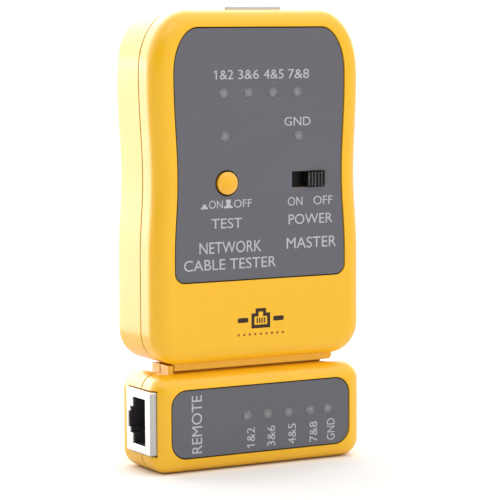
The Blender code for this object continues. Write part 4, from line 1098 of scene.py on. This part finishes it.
def knob():
    shape = knobShape
    right = slotShape["right"] - shape["gap"]
    left = right - shape["width"]
    half = slotShape["height"] / 2 - shape["gap"]
    top, rear = knobLow.y, knobHigh.y
    crown = shape["ridgeWidth"] / 2
    foot = top + shape["ridgeDepth"] + shape["ridgeFoot"]
    profile = [(-crown, foot), (-crown, top + crown)]
    steps = 6
    for i in range(1, steps):
        turn = math.pi * i / steps
        profile.append((-crown * math.cos(turn), top + crown * (1 - math.sin(turn))))
    profile += [(crown, top + crown), (crown, foot)]
    ridge = loft("ridge", [(profile, slotZ - half), (profile, slotZ + half)], upright)
    # the ridge crests carry edge 1, a painted highlight along each crest
    for vertex in ridge.data.vertices:
        if vertex.co.y < top + crown * 1.2:
            ridge.data.attributes["edge"].data[vertex.index].value = 1.0
    pitch = (shape["width"] - shape["ridgeWidth"]) / (shape["ridges"] - 1)
    ridges = grown("ridges", evenRow, {
        "Shape": ridge, "Count": shape["ridges"], "Material": paint["knobBlack"],
        "Start": (left + crown, 0.0, 0.0), "Step": (pitch, 0.0, 0.0),
    })
    plate = inside + loose
    deep = plate + shape["cover"]
    # the cover carries edge -0.6, painted shade in the slot
    cover = block("knobCover", (knobLow.x, plate, knobLow.z), (knobHigh.x, deep, knobHigh.z), -0.6)
    middle, (wide, tall) = (left + right) / 2, shape["stemHalf"]
    root = plate + shape["stemRoot"]
    stem = block("knobStem", (middle - wide, root, slotZ - tall), (middle + wide, rear, slotZ + tall))
    body = block("knobBody", (left, top + shape["ridgeDepth"], slotZ - half), (right, deep, slotZ + half))
    soften(body, 0.1, 2)
    return joined("powerKnob", [ridges, body, cover, stem])


spring()
complete(knob(), "power_knob", "knobBlack", ["power_knob"])

print("jacks")
jackShape = {
    "width": 16.0, "depth": 18.0, "thickness": 13.35, "sheet": 0.4, "fold": 0.45, "foldSteps": 5, "soft": 0.3,
    "port": (11.8, 6.8), "portFromFront": 2.85, "steps": ((6.8, 1.5), (4.1, 1.0)), "portDepth": 13.0,
    "mouth": ((0.12, 1.0), (0.12, 0.0), (0.03, -0.06), (0.0, -0.15), (0.0, -1.0)),  # how wide, at what height
    "housingGap": 0.15, "cavityInset": 0.05, "slotHalf": 0.3, "slot": ((1.6, -9.0), (3.4, -1.4)),
    "pitch": 1.02, "contacts": 8, "wire": 0.22,
    "contact": (
        (3.0, -11.6), (2.2, -9.6), (1.2, -6.6), (0.45, -4.0), (0.05, -3.0),
        (-0.4, -2.7), (-0.75, -3.1), (-0.8, -4.2), (-0.8, -8.0),
    ),
}


def portOutline(front, out):  # the stepped mouth, contacts at the low side
    start = front + jackShape["portFromFront"]
    half = jackShape["port"][0] / 2
    y = start + jackShape["port"][1]
    right = [(half + out, start - out), (half + out, y + out)]
    for width, thickness in jackShape["steps"]:
        right.append((width / 2 + out, y + out))
        y += thickness
        right.append((width / 2 + out, y + out))
    return right + [(-x, v) for x, v in reversed(right)]


def jackPieces(body, place, turn, front):
    shape = jackShape
    half, rear, sheet, soft = shape["width"] / 2, front + shape["thickness"], shape["sheet"], shape["soft"]
    toPlace = Matrix.Translation(place) @ Matrix.Rotation(turn, 4, "Y")

    def shell(inset):
        side, corner = half - inset, max(shape["fold"] - inset, 0.1)
        return roundedBox(-side, side, front + inset, rear - inset, corner, shape["foldSteps"])

    def finish(piece, material, nodes):
        settle(piece).data.transform(toPlace)
        complete(piece, body, material, nodes)

    rings = [(shell(sheet), -sheet), (shell(sheet), -shape["depth"]), (shell(0.0), -shape["depth"])]
    rings.append((shell(0.0), -soft, 0.3))
    for degrees in (30, 60, 90):
        angle = math.radians(degrees)
        rings.append((shell(soft * (1 - math.cos(angle))), -soft * (1 - math.sin(angle)), 1.0))
    shield = loft(body + "Shield", rings, upright)
    mouth = [(portOutline(front, out), level) for out, level in shape["mouth"]]
    cut(shield, loft(body + "Mouth", mouth, upright))
    finish(shield, "shieldSteel", [f"{body}_jack_shield"])

    inset = sheet + shape["housingGap"]
    outline, port = shell(inset), portOutline(front, -shape["cavityInset"])
    housing = loft(body + "Housing", [(outline, -shape["depth"] + inset), (outline, -inset)], upright)
    cavity = [(port, past), (port, -1.2), (port, -shape["portDepth"])]
    cut(housing, loft(body + "Cavity", cavity, upright))
    low, high = ((side * shape["slotHalf"], front + y, z) for side, (y, z) in zip((-1, 1), shape["slot"]))
    firstX = -(shape["contacts"] - 1) / 2 * shape["pitch"]
    row = {"Count": shape["contacts"], "Start": (firstX, 0.0, 0.0), "Step": (shape["pitch"], 0.0, 0.0)}
    slot = {"Shape": block(body + "Slot", low, high), "Material": paint["blackPlastic"]}
    cut(housing, grown(body + "Slots", evenRow, {**row, **slot}))
    finish(housing, "housingBlack", [f"{body}_jack_housing"])

    route = [(0.0, front + shape["portFromFront"] + y, z) for y, z in shape["contact"]]
    contact = {"Shape": wireAlong(body + "Contact", route, shape["wire"]), "Material": paint["contactGold"]}
    nodes = [f"{body}_contact_{i + 1}" for i in range(shape["contacts"])]
    finish(grown(body + "Contacts", evenRow, {**row, **contact}), "contactGold", nodes)


sideMiddle = (remoteJackLow.z + remoteJackHigh.z) / 2
jackPieces("master", (0.0, 0.0, masterJackHigh.z), 0.0, masterJackLow.y)
jackPieces("remote", (remoteJackLow.x, 0.0, sideMiddle), -math.pi / 2, remoteJackLow.y)

print("screws")


def screwMesh(length):
    shape = screwShape
    head, thick = shape["headRadius"], shape["headThickness"]
    radius, pitch = shape["radius"], shape["threadPitch"]
    profile = [(0.0, 0.0), *((head * share, y) for share, y in shape["head"]), (head, thick), (radius, thick)]
    for i in range(int((length - thick - shape["plainEnd"]) / pitch)):
        y = thick + shape["threadStart"] + i * pitch
        profile += [(radius * shape["coreShare"], y), (radius, y + 0.16), (radius, y + 0.22)]
    profile += [(radius * shape["tipShare"], length - shape["tip"]), (0.0, length)]
    made = turned("screw", 0.0, 0.0, [(r, -y) for r, y in profile], 28)
    long, wide = shape["crossHalf"], shape["crossHalfWidth"]
    for i in range(2):
        arm = block(f"crossArm{i}", (-long, -shape["crossDepth"], -wide), (long, 0.5, wide))
        arm.data.transform(Matrix.Rotation(math.pi / 2 * i, 4, "Y"))
        cut(made, arm)
    return settle(made)


def screws(name, nodes, body, seed):
    low, high = boxOf(nodes[0])
    points = [(centreOf(node).x, high.y, centreOf(node).z) for node in nodes]
    shape = screwMesh(high.y - low.y)
    values = {"Shape": shape, "Turn": math.pi, "Seed": seed, "Material": paint["screwSteel"]}
    complete(grown(name, onPlaces, values, points), body, "screwSteel", nodes)


screws("masterScrews", screwNodes, "master", 3)
screws("remoteScrews", remoteScrewNodes, "remote", 8)

print("battery door")


def batteryDoor():
    shape = doorShape
    soft, low, high = shape["soft"], shape["low"], shape["low"] + shape["height"]
    outer, inner = masterRearY, masterRearY - caseShape["wall"]
    rings = [(doorOutline(-soft), outer, 0.2), (doorOutline(-soft * 0.3), outer - soft * 0.3, 1.0)]
    rings += [(doorOutline(0.0), outer - soft, 0.6), (doorOutline(0.0), inner)]
    door = loft("batteryDoor", rings)
    half, slim = shape["tongueHalf"], shape["tongueHalf"] - 0.05
    root = inner + shape["root"]
    for x in shape["tongues"]:
        weld(door, block("tongue", (x - half, inner - 1.1, low - 1.7), (x + half, inner - 0.3, low + 2.0)))
        weld(door, block("tongueRoot", (x - slim, inner - 1.0, low + 0.5), (x + slim, root, low + 1.9)))
    ribFront, half, inset = boxOf("battery")[1].y + loose, shape["ribHalf"], shape["ribInset"]
    for x in shape["ribs"]:
        weld(door, block("rib", (x - half, ribFront, low + inset), (x + half, root, high - inset)))
    half, tall = shape["gripHalf"], shape["gripHeight"]
    for i in range(shape["grips"]):
        z = high - (i + 1.5) * shape["gripPitch"]

        def groove(out):
            return roundedBox(-half - out, half + out, z - out, z + tall + out, tall / 2 + out, 5)

        cut(door, lippedHole("grip", groove, outer, shape["gripDepth"], 0.15, -1))
    tip, wide, tall = low + shape["arrowAt"], shape["arrowHalf"], shape["arrowHeight"]
    middle = tip + tall * 0.65

    def arrow(out):
        points = [(-wide, tip + tall), (wide, tip + tall), (0.0, tip)]
        return [(x * (1 + out / 2), middle + (z - middle) * (1 + out / 2)) for x, z in points]

    cut(door, lippedHole("arrow", arrow, outer, shape["arrowDepth"], 0.08, -1))
    return door


complete(batteryDoor(), "battery_door", "caseYellow", ["battery_door"])

markShape = {
    "left": -7.0, "right": 6.3, "low": 35.4, "high": 40.4, "line": 0.85,
    "portHalf": 2.7, "latchHalf": 1.5, "latchHeight": 1.2, "barHalf": 0.6, "barGap": 0.9, "barDown": 0.3,
    "pins": 4, "pinHalf": 0.19, "pinPitch": 0.7, "pinFrom": 1.25, "pinTo": 2.6,
    "dots": 9, "dot": 0.55, "dotZ": 33.65,
}


def rowOf(name, piece, count, startX, pitch, material):
    made = grown(name, evenRow, {
        "Shape": piece, "Count": count, "Start": (startX, 0.0, 0.0), "Step": (pitch, 0.0, 0.0),
        "Material": paint[material],
    })
    bpy.data.objects.remove(piece)
    return made


def oblong(left, right, low, high):
    return [(left, low), (right, low), (right, high), (left, high)]


def mark():
    shape = markShape
    left, right, low, high, line = (shape[key] for key in ("left", "right", "low", "high", "line"))
    middle, half = (left + right) / 2, shape["portHalf"]

    def port(inset):
        wide, slim, step = half - inset, shape["latchHalf"] - inset, high - shape["latchHeight"] - inset
        side = [(wide, low + inset), (wide, step), (slim, step), (slim, high - inset)]
        return [(middle + x, z) for x, z in side] + [(middle - x, z) for x, z in reversed(side)]

    rim = shapeOn(port(0.0), frontY)
    cut(rim, loft("markHole", [(port(line), frontY - past), (port(line), frontY + past)]))
    z, tall, reach = (low + high) / 2 - shape["barDown"], shape["barHalf"], half + shape["barGap"]
    bars = []
    for start, end in ((left, middle - reach), (middle + reach, right)):
        bars.append(shapeOn(roundedBox(start, end, z - tall, z + tall, 0.4, 4), frontY))
    slim, pitch = shape["pinHalf"], shape["pinPitch"]
    pin = shapeOn(oblong(-slim, slim, low + shape["pinFrom"], low + shape["pinTo"]), frontY)
    pins = rowOf("pins", pin, shape["pins"], middle - (shape["pins"] - 1) / 2 * pitch, pitch, "markBrown")
    return finishPrint("frontMark", [rim, *bars, pins], "master", "markBrown")


def dots():
    shape = markShape
    size, low = shape["dot"], shape["dotZ"]
    dot = shapeOn(oblong(0.0, size, low, low + size), frontY)
    pitch = (shape["right"] - shape["left"] - size) / (shape["dots"] - 1)
    row = rowOf("dots", dot, shape["dots"], shape["left"], pitch, "markRed")
    return finishPrint("frontMarkDots", [row], "master", "markRed")


print("mark")
mark()
dots()

carried = {
    "battery": "batteryJacket", "battery_snap": "blackPlastic",
    "black_wire": "blackInsulation", "red_wire": "redInsulation",
    "controller_chip": "chipEpoxy", "main_board": "solderMask", "remote_board": "solderMask",
    "power_switch_base": "blackPlastic", "power_switch_frame": "shieldSteel",
    "test_plunger": "blackPlastic", "test_switch": "blackPlastic",
}
for node, material in carried.items():
    mesh = frame["nodes"][node].data
    mesh.materials.clear()
    mesh.materials.append(paint[material])

for piece in list(workbench.objects):
    bpy.data.objects.remove(piece)
bpy.data.collections.remove(workbench)

cameraShape = {  # metres, degrees and millimetres
    "place": (-0.2891, -0.5274, 0.1109), "turn": 28.98, "dip": 5.39, "roll": -0.292, "lens": 170.17,
}


def makeCamera():
    turn, dip, roll = (math.radians(cameraShape[key]) for key in ("turn", "dip", "roll"))
    ahead = Vector((math.sin(turn) * math.cos(dip), math.cos(turn) * math.cos(dip), -math.sin(dip)))
    right = Vector((math.cos(turn), -math.sin(turn), 0.0))
    up = right.cross(ahead)
    right, up = right * math.cos(roll) + up * math.sin(roll), up * math.cos(roll) - right * math.sin(roll)
    data = bpy.data.cameras.new("camera")
    data.lens = cameraShape["lens"]
    data.sensor_width = 36.0
    data.clip_start, data.clip_end = 0.01, 100.0
    made = bpy.data.objects.new("camera", data)
    made.matrix_world = Matrix((
        (right.x, up.x, -ahead.x, cameraShape["place"][0]),
        (right.y, up.y, -ahead.y, cameraShape["place"][1]),
        (right.z, up.z, -ahead.z, cameraShape["place"][2]),
        (0.0, 0.0, 0.0, 1.0),
    ))
    bpy.context.scene.collection.objects.link(made)
    bpy.context.scene.camera = made


def makeFloor():
    bm = bmesh.new()
    bmesh.ops.create_grid(bm, x_segments=1, y_segments=1, size=15.0)
    mesh = bpy.data.meshes.new("floor")
    bm.to_mesh(mesh)
    bm.free()
    floor = bpy.data.objects.new("floor", mesh)
    floor.location.z = cadLow.z - 0.00005
    made, graph, shader = newMaterial("floorPaper")[:3]
    mirrored = graph.node("ShaderNodeLightPath").out("Is Glossy Ray")
    white, dim = (0.93, 0.93, 0.93, 1.0), (0.55, 0.55, 0.55, 1.0)  # dimmer in the reflections
    paper = blendColour(graph, mirrored, white, dim)
    graph.feed(shader.inputs["Base Color"], paper)
    shader.inputs["Roughness"].default_value = 0.9
    mesh.materials.append(made)
    bpy.context.scene.collection.objects.link(floor)


studio = {  # brightness of the white room, and how much the dark parts take away
    "horizon": 0.55, "zenith": 1.32, "rear": 2.2, "flag": 0.9, "shade": 0.85, "backdrop": 1.05,
}
lamps = {  # direction from the object, distance, width, height and power
    "leftPanel": {"from": (-0.52, 0.85, 0.03), "distance": 0.2, "size": (0.175, 0.12), "power": 0.165},
    "frontPanel": {"from": (-0.5, -0.6, 1.0), "distance": 1.2, "size": (0.5, 0.5), "power": 0.8},
}


def makeLights():
    middle = Vector((cadLow + cadHigh) / 2)
    for name, lamp in lamps.items():
        data = bpy.data.lights.new(name, "AREA")
        data.shape = "RECTANGLE"
        data.size, data.size_y = lamp["size"]
        data.energy = lamp["power"]
        made = bpy.data.objects.new(name, data)
        way = Vector(lamp["from"]).normalized()
        made.location = middle + way * lamp["distance"]
        made.rotation_mode = "QUATERNION"
        made.rotation_quaternion = way.to_track_quat("Z", "Y")
        bpy.context.scene.collection.objects.link(made)


def makeRoom():
    world = bpy.data.worlds.new("studio")
    world.use_nodes = True
    bpy.context.scene.world = world
    graph = Graph(world.node_tree)
    sky = world.node_tree.nodes["Background"]
    path = graph.node("ShaderNodeLightPath")
    seen, mirrored = path.out("Is Camera Ray"), path.out("Is Glossy Ray")
    way = graph.node("ShaderNodeTexCoord").out("Generated")
    axes = graph.node("ShaderNodeSeparateXYZ", {}, {0: way})
    across, back, up = axes.out("X"), axes.out("Y"), axes.out("Z").clamp()
    wall = ((back - 0.05) * 1.25).clamp() * (up + 1.0) * mirrored  # the bright wall behind, in reflections
    dark = ((across * -0.8 - back * 0.6 - 0.77) * 10.0).clamp()  # a black card on the left
    shade = (0.0 - across).clamp() * (1.0 - mirrored)  # less soft light from the left
    room = studio["horizon"] + up * studio["zenith"] + wall * studio["rear"]
    room = room * (1.0 - dark * studio["flag"]) * (1.0 - shade * studio["shade"])
    graph.feed(sky.inputs["Strength"], room + seen * (studio["backdrop"] - room))
    sky.inputs["Color"].default_value = (1.0, 1.0, 1.0, 1.0)


print("camera, floor and light")
makeCamera()
makeFloor()
makeLights()
makeRoom()
bpy.context.scene.view_settings.view_transform = "Standard"
